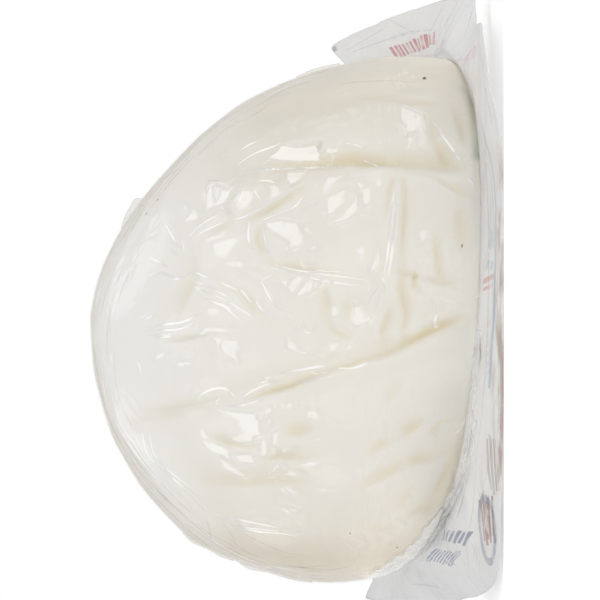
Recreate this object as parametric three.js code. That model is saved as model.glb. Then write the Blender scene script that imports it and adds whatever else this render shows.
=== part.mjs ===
// A ball of fresh mozzarella, vacuum sealed between a clear film and a printed film.
// It lies on the printed film, with the dome of cheese up. Millimetres, +Z up.
// The origin is where the ball's axis meets the table, in the middle of the flat patch it rests on.
// +X is the label's upper edge, +Y is the side where the flange curls up highest.

import * as THREE from "three";
import { mergeVertices } from "three/addons/utils/BufferGeometryUtils.js";

// Driving dimensions
const BALL_HEIGHT = 61.2;
const FILM_THICKNESS = 0.4;
const FILM_GAP = 0.3;
const SKIRT_EDGE = 0.6;

// Values round the ball at every 45 degrees, from +X through +Y
const WIDEST_RADIUS = [41.0, 40.9, 40.5, 41.0, 41.0, 41.0, 40.5, 40.9];
const WIDEST_HEIGHT = [16.0, 18.5, 21.0, 24.0, 25.5, 24.0, 21.0, 18.0];
const SHOULDER_ROUNDNESS = [1.85, 1.95, 2.1, 2.3, 2.5, 2.35, 2.15, 1.9];
const CROWN_ROUNDNESS = [1.5, 1.6, 1.75, 1.8, 1.8, 1.8, 1.75, 1.6];
const CONTACT_RADIUS = [25, 24, 22, 17, 15, 18, 23, 25];
const SEAL_RADIUS = [40.4, 42.4, 43.2, 42.5, 36.4, 39.4, 42.2, 41.6];
const SEAL_HEIGHT = [3.0, 7.5, 10.5, 14.0, 13.4, 7.2, 2.2, 2.0];
const FLANK_ROUNDNESS = [2.3, 2.4, 2.3, 2.0, 1.8, 2.0, 2.4, 2.4];

// The rim of the printed film, counter-clockwise from the middle of the +X side
const FILM_RIM = [
  [49.5, -1.5, 2.2], [50.3, 6, 4.0], [50, 14, 7.2], [48.3, 28, 14.6], [46, 39, 20.8],
  [44.5, 45, 24.0], [41.5, 48, 19.8], [28, 49.5, 15.5], [0, 50, 14], [-28, 49.5, 14],
  [-42, 47.5, 16], [-44.7, 45, 17.9], [-46.3, 34, 14.5], [-46.5, 18, 10], [-45.5, 6, 6.5],
  [-43, -8, 4.2], [-41.3, -24, 2.3], [-38.6, -43, 1.0], [-34.5, -48.5, 0.5], [-24, -50, 0.3],
  [-12, -50, 0], [8, -50, 0], [24, -50, 0.2], [33, -50, 1.7], [39.5, -49.2, 2.5],
  [42.8, -46, 2.8], [43.4, -34, 2.7], [44.2, -20, 2.4], [45.2, -7.5, 2.2],
];

// Broad folds pressed into the dome: ends as [x, z] on the -Y or the +Y side, with depth and half width
const FOLDS = [
  { side: -1, from: [23, 42], to: [23.5, 8], depth: 0.9, half: 2.2 },
  { side: -1, from: [22, 17], to: [5, 16.5], depth: -0.7, half: 1.8 },
  { side: -1, from: [-1, 4], to: [-15, 54], depth: 0.8, half: 2.0 },
  { side: -1, from: [-16, 50], to: [-33, 40], depth: 0.5, half: 2.2 },
  { side: -1, from: [31, 36], to: [35, 12], depth: 0.5, half: 1.8 },
  { side: 1, from: [26, 36], to: [8, 8], depth: 0.8, half: 2.4 },
  { side: 1, from: [4, 48], to: [-20, 14], depth: -0.7, half: 2.2 },
  { side: 1, from: [-6, 30], to: [-34, 22], depth: 0.6, half: 2.0 },
];

const FOLD_FADE_START = 4;
const FOLD_FADE_WIDTH = 12;

// Slow lumps of the soft cheese and ripples of the free flange, as sine waves in millimetres
const LUMPS = [
  { height: 0.3, along: [0.11, 0.05, -0.08], start: 1.2 },
  { height: 0.25, along: [-0.13, 0.19, 0.1], start: 3.3 },
  { height: 0.2, along: [0.1, -0.12, 0.21], start: 1.7 },
];
const RIPPLES = [
  { height: 0.5, waves: 7, start: 0.8 },
  { height: 0.35, waves: 13, start: 2.1 },
];
const RIPPLE_FLOOR = 0.8;
const RIPPLE_FADE = 3;

// How sharply the printed film turns up from the table to the seal
const UNDERSIDE_RISE = 1.5;

// Mesh density: points round each ring, and rings on each stretch
const AROUND = 96;
const CROWN_RINGS = 20;
const FLANK_RINGS = 9;
const SMOOTH_RINGS = 4;
const FLOOR_RINGS = 4;
const HUG_RINGS = 5;
const FLANGE_RINGS = 5;

// A smooth closed interpolation of a table with one value at every 45 degrees.
function around(table, angle) {
  const count = table.length;
  const place = ((angle / (2 * Math.PI)) * count + 2 * count) % count;
  const k = Math.floor(place);
  const t = place - k;
  const at = (i) => table[(k + i + count) % count];
  const [a, b, c, d] = [at(-1), at(0), at(1), at(2)];
  const slope = (c - a) * t;
  const bend = (2 * a - 5 * b + 4 * c - d) * t ** 2;
  const twist = (3 * b - 3 * c + d - a) * t ** 3;
  return 0.5 * (2 * b + slope + bend + twist);
}

const rimCurve = new THREE.CatmullRomCurve3(
  FILM_RIM.map((p) => new THREE.Vector3(...p)), true, "catmullrom", 0.5,
);
const RIM = rimCurve.getSpacedPoints(AROUND).slice(0, AROUND);
RIM.forEach((p) => { p.z = Math.max(0, p.z); });
const ANGLES = RIM.map((p) => Math.atan2(p.y, p.x));

function polar(radius, angle, z) {
  return new THREE.Vector3(radius * Math.cos(angle), radius * Math.sin(angle), z);
}

function lumps(p) {
  const wave = ({ height, along: [x, y, z], start }) => (
    height * Math.sin(x * p.x + y * p.y + z * p.z + start)
  );
  return LUMPS.reduce((sum, lump) => sum + wave(lump), 0);
}

// A ramp from 0 to 1 as a value passes from start to start + width
function ramp(value, start, width) {
  return Math.min(1, Math.max(0, (value - start) / width));
}

// How far the folds push a point of the dome outwards
function folds(p) {
  let push = 0;
  for (const fold of FOLDS) {
    const [ax, az] = fold.from;
    const [dx, dz] = [fold.to[0] - ax, fold.to[1] - az];
    const t = ramp((p.x - ax) * dx + (p.z - az) * dz, 0, dx * dx + dz * dz);
    const away = Math.hypot(p.x - ax - t * dx, p.z - az - t * dz) / fold.half;
    const facing = ramp(fold.side * p.y, FOLD_FADE_START, FOLD_FADE_WIDTH);
    push -= fold.depth * facing * Math.exp(-away * away);
  }
  return push;
}

// One point of the dome: t runs from 0 at the crown to 1 at the widest ring, and on to 2 at the seal.
function domePoint(angle, t) {
  const widest = around(WIDEST_RADIUS, angle);
  const height = around(WIDEST_HEIGHT, angle);
  if (t <= 1) {
    const turn = (t * Math.PI) / 2;
    const radius = widest * Math.sin(turn) ** (2 / around(SHOULDER_ROUNDNESS, angle));
    const z = height + (BALL_HEIGHT - height) * Math.cos(turn) ** (2 / around(CROWN_ROUNDNESS, angle));
    return polar(radius, angle, z);
  }
  const turn = ((t - 1) * Math.PI) / 2;
  const power = 2 / around(FLANK_ROUNDNESS, angle);
  const seal = around(SEAL_RADIUS, angle);
  const low = around(SEAL_HEIGHT, angle) + FILM_THICKNESS + FILM_GAP + SKIRT_EDGE;
  const radius = seal + (widest - seal) * Math.max(0, Math.cos(turn)) ** power;
  return polar(radius, angle, height - (height - low) * Math.sin(turn) ** power);
}

// One point of the printed film's underside: s is 0 at the centre, 1 at the seal and 2 at the rim.
function filmPoint(j, s) {
  const angle = ANGLES[j];
  const contact = around(CONTACT_RADIUS, angle);
  const seal = around(SEAL_RADIUS, angle);
  const sealHeight = around(SEAL_HEIGHT, angle);
  if (s <= 1) {
    const radius = seal * s;
    return polar(radius, angle, sealHeight * ramp(radius, contact, seal - contact) ** UNDERSIDE_RISE);
  }
  const t = s - 1;
  const p = polar(seal, angle, sealHeight).lerp(RIM[j], t);
  const ripple = RIPPLES.reduce((sum, r) => sum + r.height * Math.sin(r.waves * angle + r.start), 0);
  p.z += ripple * ramp(p.z, RIPPLE_FLOOR, RIPPLE_FADE) * Math.sin(Math.PI * t);
  return p;
}

// A grid of rings, each an array of AROUND points, with the outward normal of each point.
function ringNormals(rings, pole) {
  return rings.map((ring, i) => ring.map((p, j) => {
    const inner = i > 0 ? rings[i - 1][j] : pole;
    const outer = rings[Math.min(i + 1, rings.length - 1)][j];
    const left = ring[(j + AROUND - 1) % AROUND];
    const right = ring[(j + 1) % AROUND];
    const outwards = new THREE.Vector3().subVectors(outer, inner);
    const sideways = new THREE.Vector3().subVectors(right, left);
    return outwards.cross(sideways).normalize();
  }));
}

function offset(rings, normals, distance) {
  return rings.map((ring, i) => ring.map((p, j) => p.clone().addScaledVector(normals[i][j], distance)));
}

// A closed mesh from a top pole, rings in order down to a bottom pole.
function closedMesh(topPole, rings, bottomPole) {
  const positions = [];
  const triangle = (a, b, c) => positions.push(...a.toArray(), ...b.toArray(), ...c.toArray());
  for (let j = 0; j < AROUND; j += 1) {
    const k = (j + 1) % AROUND;
    triangle(topPole, rings[0][j], rings[0][k]);
    for (let i = 0; i + 1 < rings.length; i += 1) {
      triangle(rings[i][j], rings[i + 1][j], rings[i + 1][k]);
      triangle(rings[i][j], rings[i + 1][k], rings[i][k]);
    }
    const last = rings[rings.length - 1];
    triangle(last[j], bottomPole, last[k]);
  }
  const geometry = new THREE.BufferGeometry();
  geometry.setAttribute("position", new THREE.Float32BufferAttribute(positions, 3));
  const merged = mergeVertices(geometry, 1e-4);
  merged.computeVertexNormals();
  return merged;
}

// The underside of the printed film, from the centre to the rim
function filmUnderside() {
  const steps = [];
  for (let i = 1; i <= FLOOR_RINGS; i += 1) steps.push((0.5 * i) / FLOOR_RINGS);
  for (let i = 1; i <= HUG_RINGS; i += 1) steps.push(0.5 + (0.5 * i) / HUG_RINGS);
  const sealRing = steps.length - 1;
  for (let i = 1; i <= FLANGE_RINGS; i += 1) steps.push(1 + i / FLANGE_RINGS);
  const rings = steps.map((s) => ANGLES.map((_, j) => filmPoint(j, s)));
  return { rings, sealRing, normals: ringNormals(rings, new THREE.Vector3()) };
}

function printedFilm(under) {
  const top = offset(under.rings, under.normals, FILM_THICKNESS);
  const rings = [...top, ...under.rings.slice().reverse()];
  const centre = new THREE.Vector3(0, 0, FILM_THICKNESS);
  const material = new THREE.MeshStandardMaterial({ color: 0xe9e8e6, roughness: 0.35, metalness: 0 });
  const mesh = new THREE.Mesh(closedMesh(centre, rings, new THREE.Vector3()), material);
  mesh.name = "printed_film";
  return mesh;
}

function sealedBall(under) {
  const crown = new THREE.Vector3(0, 0, BALL_HEIGHT);
  const dome = [];
  for (let i = 1; i <= CROWN_RINGS; i += 1) dome.push(i / CROWN_RINGS);
  for (let i = 1; i <= FLANK_RINGS; i += 1) dome.push(1 + i / FLANK_RINGS);
  const smooth = dome.map((t) => ANGLES.map((angle) => domePoint(angle, t)));
  const normals = ringNormals(smooth, crown);
  const shaped = smooth.map((ring, i) => ring.map((p, j) => {
    const fade = Math.min(1, i / SMOOTH_RINGS, (smooth.length - 1 - i) / SMOOTH_RINGS);
    const push = (lumps(p) + folds(p)) * fade;
    return p.clone().addScaledVector(normals[i][j], push);
  }));
  const lift = FILM_THICKNESS + FILM_GAP;
  const floor = offset(under.rings, under.normals, lift).slice(0, under.sealRing + 1).reverse();
  const material = new THREE.MeshStandardMaterial({ color: 0xe9e4d6, roughness: 0.25, metalness: 0 });
  const geometry = closedMesh(crown, [...shaped, ...floor], new THREE.Vector3(0, 0, lift));
  const mesh = new THREE.Mesh(geometry, material);
  mesh.name = "sealed_ball";
  return mesh;
}

const pack = new THREE.Group();
const underside = filmUnderside();
pack.add(sealedBall(underside), printedFilm(underside));

export default pack;
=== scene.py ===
"""A ball of fresh mozzarella in its vacuum pack, as an add-on with an operator for each piece.

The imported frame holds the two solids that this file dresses. It makes the soft cheese, the creased
clear film drawn tight over it, the pleats of that film, and the printed film that it is sealed to.
Most sizes are the solids' own driving dimensions. Shapes are worked out in millimetres and written to
the meshes in metres, in the frame's own axes.
"""

import math

import bmesh
import bpy
import numpy as np
from mathutils import Matrix, Vector
from mathutils.bvhtree import BVHTree


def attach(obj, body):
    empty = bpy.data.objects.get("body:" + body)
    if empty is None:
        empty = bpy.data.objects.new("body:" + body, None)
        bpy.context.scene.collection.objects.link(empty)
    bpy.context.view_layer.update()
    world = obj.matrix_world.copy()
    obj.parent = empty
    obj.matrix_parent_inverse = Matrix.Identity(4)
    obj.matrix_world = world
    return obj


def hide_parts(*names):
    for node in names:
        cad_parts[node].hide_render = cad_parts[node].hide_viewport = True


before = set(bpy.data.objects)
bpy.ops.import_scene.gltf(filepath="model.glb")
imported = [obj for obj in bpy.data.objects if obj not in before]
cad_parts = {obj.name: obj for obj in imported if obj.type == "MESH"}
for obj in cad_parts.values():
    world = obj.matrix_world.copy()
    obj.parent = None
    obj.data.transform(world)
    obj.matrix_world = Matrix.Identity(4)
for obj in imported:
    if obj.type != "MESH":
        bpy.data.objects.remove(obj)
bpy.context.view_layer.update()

bl_info = {
    "name": "Vacuum-packed mozzarella ball",
    "version": (1, 0, 0),
    "blender": (4, 5, 0),
    "location": "3D View > Sidebar > Mozzarella",
    "description": "Makes a ball of fresh mozzarella, its clear film and its printed film",
    "category": "Add Mesh",
}

MM = 0.001
TAU = math.tau

# Height of the ball, and values round it at every 45 degrees from +X through +Y
BALL_HEIGHT = 61.2
WIDEST_RADIUS = [41.0, 40.9, 40.5, 41.0, 41.0, 41.0, 40.5, 40.9]
WIDEST_HEIGHT = [16.0, 18.5, 21.0, 24.0, 25.5, 24.0, 21.0, 18.0]
SHOULDER_ROUNDNESS = [1.85, 1.95, 2.1, 2.3, 2.5, 2.35, 2.15, 1.9]
CROWN_ROUNDNESS = [1.5, 1.6, 1.75, 1.8, 1.8, 1.8, 1.75, 1.6]
CONTACT_RADIUS = [25, 24, 22, 17, 15, 18, 23, 25]
SEAL_RADIUS = [41.4, 42.4, 43.2, 42.5, 36.4, 39.4, 42.2, 41.7]
SEAL_HEIGHT = [7.0, 8.4, 10.5, 14.0, 13.4, 7.2, 3.2, 3.0]
FLANK_ROUNDNESS = [2.3, 2.4, 2.3, 2.0, 1.8, 2.0, 2.4, 2.4]
# How sharply the printed film turns up from the table to the seal
UNDERSIDE_RISE = 1.5
# How far the cheese's foot stays inside the seal, where clear film spans the corner, and its unevenness
WEB_WIDTH = [0.9, 1.4, 1.4, 1.8, 3.2, 4.4, 0.5, 0.5]
FOOT_UNEVENNESS = 0.3

# The rim of the printed film, counter-clockwise from the middle of the +X side
FILM_RIM = [
    (49.5, -1.5, 2.2), (50.3, 6, 4.0), (50, 14, 7.2), (48.3, 28, 14.6), (46.6, 38, 20.0),
    (45.4, 42.5, 22.6), (44.2, 45.6, 24.1), (42.6, 46.8, 21.8), (40.5, 48.2, 19.0), (28, 49.5, 15.5),
    (0, 50, 14), (-28, 49.5, 14), (-41, 47.8, 15.8), (-45, 46.9, 17.4), (-46.4, 46.6, 18.1),
    (-46.6, 44, 17.4), (-46.5, 34, 14.5), (-46.5, 18, 10), (-45.5, 6, 6.5),
    (-43, -8, 4.2), (-41.3, -24, 2.3), (-38.6, -43, 1.0), (-34.5, -48.5, 0.5), (-24, -50, 0.3),
    (-12, -50, 0), (8, -50, 0), (24, -50, 0.2), (33, -50, 1.7), (39.5, -49.2, 2.5),
    (42.8, -46, 2.8), (43.4, -34, 2.7), (44.2, -20, 2.4), (45.2, -7.5, 2.2),
]
# How far the clear film goes on past the seal, as a share of the way to the rim
SEAL_BAND = 0.2
# The space between the printed film and what lies on it
SEAL_GAP = 0.05
CHEESE_BED_GAP = 0.1

# Broad folds pressed into the dome: side (-1 or +1 along Y), points as (x, z), depth, half width
FOLDS = [
    (-1, [(23, 42), (23.5, 8)], 0.9, 2.2),
    (-1, [(22, 17), (5, 16.5)], -0.7, 1.8),
    (-1, [(-1, 4), (-15, 54)], 0.8, 2.0),
    (-1, [(-16, 50), (-33, 40)], 0.5, 2.2),
    (-1, [(31, 36), (35, 12)], 0.5, 1.8),
    (1, [(26, 36), (8, 8)], 0.8, 2.4),
    (1, [(4, 48), (-20, 14)], -0.7, 2.2),
    (1, [(-6, 30), (-34, 22)], 0.6, 2.0),
]
# How far from the middle plane a broad fold starts, and over what distance it grows to its full depth
FACING_START = 4
FACING_WIDTH = 12
# How much of the folds the film and the cheese take up, and how much of the hollows the film does
FOLD_SHARE = 0.7
FILM_HOLLOW_SHARE = 0.5

# The lists that follow were placed over the photo. Their places and half widths are in its
# pixels, which on_plane turns into millimetres on the upright plane through the ball's axis. The far
# side wears the same folds and bright creases, mirrored and stretched a little.

# Flat bright facets of the clear film, by their corners
FACET_OUTLINES = [
    [(262, 163), (275, 152), (284, 144), (300, 145), (309, 143), (318, 142), (321, 156), (324, 163)],
    [(322, 147), (334, 149), (345, 143), (335, 154), (331, 166), (327, 154)],
    [(284, 170), (312, 169), (298, 179), (287, 185), (283, 178)],
    [(325, 178), (342, 175), (337, 182), (327, 190), (322, 197)],
    [(329, 196), (337, 190), (348, 187), (343, 200), (335, 214), (326, 217), (324, 208)],
    [(355, 190), (360, 197), (357, 212), (350, 220), (335, 225), (329, 222), (343, 216), (350, 203)],
    [(354, 182), (362, 182), (370, 190), (371, 202), (365, 212), (362, 200), (361, 190)],
    [(377, 181), (380, 180), (382, 189), (378, 187)],
    [(205, 192), (211, 182), (222, 183), (229, 196), (222, 204), (228, 214), (212, 206), (206, 208)],
    [(269, 185), (277, 184), (280, 194), (270, 197)],
    [(263, 222), (282, 219), (303, 222), (307, 228), (303, 240), (296, 248), (285, 253), (286, 243),
     (276, 236)],
    [(303, 222), (310, 229), (316, 240), (312, 238), (306, 230)],
    [(306, 247), (318, 242), (318, 248), (308, 250)],
    [(213, 243), (228, 240), (239, 238), (231, 248), (227, 259), (216, 256)],
    [(204, 241), (216, 234), (227, 231), (225, 236), (212, 240)],
    [(225, 262), (239, 260), (246, 266), (228, 268)],
    [(292, 261), (303, 262), (315, 268), (304, 268)],
    [(275, 280), (292, 278), (308, 277), (324, 281), (318, 291), (306, 297), (288, 292)],
    [(356, 248), (367, 245), (362, 259)],
    [(373, 261), (381, 252), (380, 264), (370, 273)],
    [(330, 304), (336, 304), (339, 314), (333, 319), (329, 317)],
    [(352, 301), (361, 305), (366, 319), (357, 330), (350, 323), (353, 314)],
    [(360, 320), (374, 314), (372, 322), (361, 326)],
    [(188, 205), (192, 206), (199, 213), (197, 219), (185, 222), (189, 213)],
    [(235, 205), (233, 198), (240, 189), (249, 190), (253, 197), (247, 206), (240, 211)],
    [(143, 319), (154, 314), (155, 317), (145, 320)],
    [(208, 310), (223, 309), (218, 314), (210, 315)],
    [(154, 359), (160, 354), (168, 353), (162, 358)],
    [(171, 364), (181, 361), (195, 362), (188, 366), (178, 367)],
    [(196, 337), (206, 329), (224, 326), (237, 328), (225, 332), (206, 336)],
    [(213, 336), (240, 339), (240, 363), (226, 356), (220, 346)],
    [(285, 336), (292, 343), (301, 349), (323, 356), (304, 355), (285, 350), (283, 345)],
    [(331, 341), (341, 340), (335, 350), (329, 353)],
    [(342, 350), (353, 344), (349, 350)],
    [(260, 378), (267, 376), (274, 379), (262, 381)],
    [(288, 325), (296, 327), (303, 333), (298, 334)],
    [(213, 407), (236, 411), (262, 411), (265, 440), (240, 443), (231, 439), (243, 433), (240, 420)],
    [(259, 438), (266, 438), (269, 452), (265, 461), (261, 453)],
    [(263, 411), (270, 406), (282, 404), (276, 410), (264, 416)],
    [(268, 418), (276, 416), (274, 425), (268, 427)],
    [(271, 432), (283, 426), (278, 434), (278, 446), (285, 450), (272, 456)],
    [(279, 447), (297, 448), (282, 452)],
    [(283, 403), (300, 402), (298, 408), (286, 409)],
    [(306, 418), (310, 410), (318, 410), (318, 419)],
    [(308, 440), (322, 436), (323, 439), (312, 441)],
    [(296, 462), (320, 461), (316, 465), (303, 465)],
    [(278, 486), (290, 488), (300, 493), (299, 495), (283, 490)],
    [(280, 505), (290, 508), (299, 509), (294, 513), (284, 509)],
    [(323, 486), (327, 486), (327, 490), (323, 490)],
    [(201, 440), (214, 445), (231, 452), (231, 460), (217, 459), (208, 450)],
    [(217, 458), (226, 463), (238, 472), (248, 476), (248, 479), (236, 477), (222, 467)],
    [(232, 456), (249, 455), (257, 464), (240, 463)],
    [(268, 477), (272, 467), (281, 460), (285, 466), (277, 469)],
    [(275, 476), (289, 471), (304, 473), (290, 476)],
    [(202, 430), (206, 434), (209, 442), (201, 438)],
    [(399, 109), (414, 114), (417, 130), (413, 139), (407, 137), (401, 123)],
    [(408, 137), (415, 136), (412, 151), (407, 147)],
    [(413, 114), (423, 118), (424, 145), (420, 146), (418, 128)],
    [(383, 107), (386, 109), (386, 113), (384, 112)],
    [(400, 157), (403, 154), (402, 159)],
    [(420, 231), (428, 228), (427, 235), (422, 245), (420, 239)],
]

# Sharp crests of the clear film: half width, then points
CRESTS = [
    (1.3, [(228, 187), (233, 180), (240, 173), (252, 170.5), (262, 170), (284, 168.5), (310, 168),
     (322, 167), (343, 169)]),
    (1.3, [(238, 164), (247, 158), (254, 153), (270, 148), (282, 143)]),
    (0.9, [(241, 150), (250, 144), (262, 139)]),
    (0.9, [(219, 155), (229, 152)]),
    (0.9, [(363, 160), (371, 163), (378, 167)]),
    (0.7, [(345, 143), (357, 145), (366, 149), (375, 156)]),
    (1, [(190, 236), (197, 228), (206, 221), (213, 217), (219, 215)]),
    (0.8, [(192, 241), (200, 233), (213, 227), (225, 222)]),
    (1.2, [(303, 187), (290, 192), (275, 200), (262, 208), (248, 216), (233, 220)]),
    (1, [(303, 196), (298, 205), (285, 212), (270, 217), (261, 221)]),
    (1, [(320, 203), (310, 205), (298, 211), (288, 218)]),
    (1.1, [(226, 199), (227, 192), (233, 186), (240, 183), (247, 182), (253, 186), (256, 195),
     (260, 199)]),
    (0.8, [(250, 191), (249, 199), (242, 205), (238, 203), (240, 196), (245, 191)]),
    (1, [(258, 181), (268, 180), (275, 182), (279, 189)]),
    (1.2, [(250, 221), (248, 231), (249, 241), (253, 250), (261, 257)]),
    (1.2, [(261, 223), (264, 232), (266, 243), (268, 251), (272, 259)]),
    (1, [(274, 265), (290, 269), (305, 272), (320, 274), (345, 277), (368, 281)]),
    (0.9, [(270, 268), (290, 272), (320, 280), (345, 284), (364, 286)]),
    (0.8, [(305, 269), (322, 271), (341, 272)]),
    (0.9, [(261, 281), (267, 277), (276, 273)]),
    (1.1, [(261, 281), (266, 290), (271, 300), (277, 307), (284, 312), (293, 318)]),
    (1.1, [(147, 277), (153, 273), (159, 272), (166, 274), (173, 279), (182, 279), (190, 273), (196, 271),
     (204, 277), (215, 280)]),
    (0.9, [(218, 281), (226, 285), (237, 290)]),
    (1, [(193, 281), (206, 286), (217, 291), (228, 297)]),
    (0.9, [(193, 286), (208, 293), (226, 300)]),
    (1.2, [(194, 286), (200, 294), (208, 300), (218, 304), (227, 306), (231, 313), (240, 320)]),
    (1.1, [(231, 303), (240, 309), (248, 314), (257, 321)]),
    (1.2, [(240, 289), (246, 295), (251, 303)]),
    (1, [(256, 300), (260, 309), (269, 316)]),
    (1.1, [(145, 331), (154, 326), (166, 324), (181, 323), (192, 318), (200, 314)]),
    (0.9, [(148, 332), (160, 330), (175, 330), (184, 328), (197, 321)]),
    (0.9, [(147, 334), (158, 336), (173, 334), (173, 337), (150, 338)]),
    (0.9, [(166, 225), (172, 236), (178, 245), (184, 249)]),
    (0.9, [(172, 250), (181, 258)]),
    (0.9, [(182, 240), (184, 251)]),
    (0.8, [(150, 258), (160, 262), (170, 268)]),
    (0.8, [(138, 362), (142, 367), (141, 373)]),
    (1.1, [(197, 399), (206, 391), (217, 388), (227, 388), (232, 392), (235, 398)]),
    (1.1, [(241, 398), (252, 391), (262, 386), (275, 383), (283, 380)]),
    (1.4, [(279, 374), (295, 371), (310, 368), (326, 366)]),
    (1.2, [(291, 384), (310, 381), (332, 376)]),
    (1.1, [(220, 399), (213, 402), (217, 406), (230, 407), (245, 405), (259, 400)]),
    (0.8, [(258, 384), (270, 380), (280, 380)]),
    (0.8, [(310, 372), (318, 375), (330, 371)]),
    (1.2, [(338, 368), (350, 369), (362, 365), (368, 363)]),
    (1, [(378, 286), (372, 297), (367, 308)]),
    (1, [(384, 288), (381, 297), (375, 311)]),
    (0.8, [(371, 286), (366, 295)]),
    (1, [(301, 321), (303, 333), (309, 335), (314, 330), (317, 322)]),
    (0.9, [(304, 320), (306, 330)]),
    (1.3, [(394, 192), (392, 205), (391, 222), (389, 240), (387, 258), (384, 272)]),
    (1.2, [(394, 192), (397, 200), (396, 220), (393, 245), (391, 260), (388, 278)]),
    (1, [(382, 276), (385, 284), (387, 293)]),
    (1.1, [(430, 299), (437, 304), (445, 311)]),
    (1.2, [(437, 307), (438, 314), (434, 322), (432, 328), (436, 329), (440, 326)]),
    (1.1, [(431, 120), (440, 132), (450, 146), (461, 161)]),
    (0.9, [(467, 178), (473, 184), (477, 191)]),
    (0.8, [(470, 176), (477, 183)]),
    (1, [(456, 434), (459, 430), (463, 425)]),
    (1, [(463, 456), (465, 449), (467, 444)]),
    (0.9, [(416, 290), (422, 287)]),
    (1, [(470, 300), (477, 297), (482, 294)]),
    (0.9, [(473, 292), (481, 291)]),
    (1.2, [(112, 416), (120, 430), (131, 447), (143, 462), (152, 474), (160, 480)]),
    (1.5, [(142, 428), (144, 441), (146, 452), (150, 458), (160, 467), (175, 480), (190, 494), (201, 506),
     (211, 514)]),
    (0.9, [(149, 428), (151, 441), (154, 455), (168, 470), (184, 483), (197, 496), (209, 510)]),
    (1.2, [(158, 476), (174, 488), (189, 503), (198, 514), (207, 518)]),
    (0.9, [(120, 423), (132, 440), (142, 457), (158, 474)]),
    (1.4, [(216, 514), (230, 518), (245, 521), (262, 524), (279, 528)]),
    (1.2, [(228, 525), (245, 529), (262, 532), (281, 533), (296, 536)]),
    (1, [(214, 518), (226, 523), (240, 527), (260, 529), (280, 531)]),
    (1.2, [(292, 534), (306, 533), (315, 536), (326, 535)]),
    (0.9, [(240, 563), (262, 566), (280, 571), (300, 576)]),
    (0.9, [(212, 546), (222, 550), (230, 553)]),
]

# Sharp dark creases of the clear film, laid as strips of painted shade: half width, then points
DARK_CREASES = [
    (0.8, [(206, 519), (210, 527), (211, 539)]),
    (0.8, [(222, 523), (230, 531), (237, 545)]),
    (1, [(240, 531), (262, 543), (285, 552), (310, 556)]),
    (0.8, [(228, 537), (245, 551), (265, 559)]),
    (1, [(130, 460), (150, 482), (175, 507), (200, 529), (222, 548), (250, 562)]),
    (0.8, [(122, 436), (135, 458), (150, 476)]),
    (0.8, [(150, 480), (168, 500), (185, 515)]),
    (0.8, [(270, 565), (300, 567), (330, 565)]),
    (1, [(217, 135), (232, 126), (245, 120), (256, 114), (268, 106)]),
    (0.8, [(197, 156), (206, 147), (219, 136)]),
    (0.8, [(340, 84), (360, 82), (380, 81), (400, 81), (418, 83)]),
    (0.7, [(262, 91), (300, 78), (330, 70)]),
    (0.8, [(150, 190), (165, 178), (180, 168)]),
    (0.7, [(300, 567), (330, 570), (352, 565)]),
]

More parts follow.
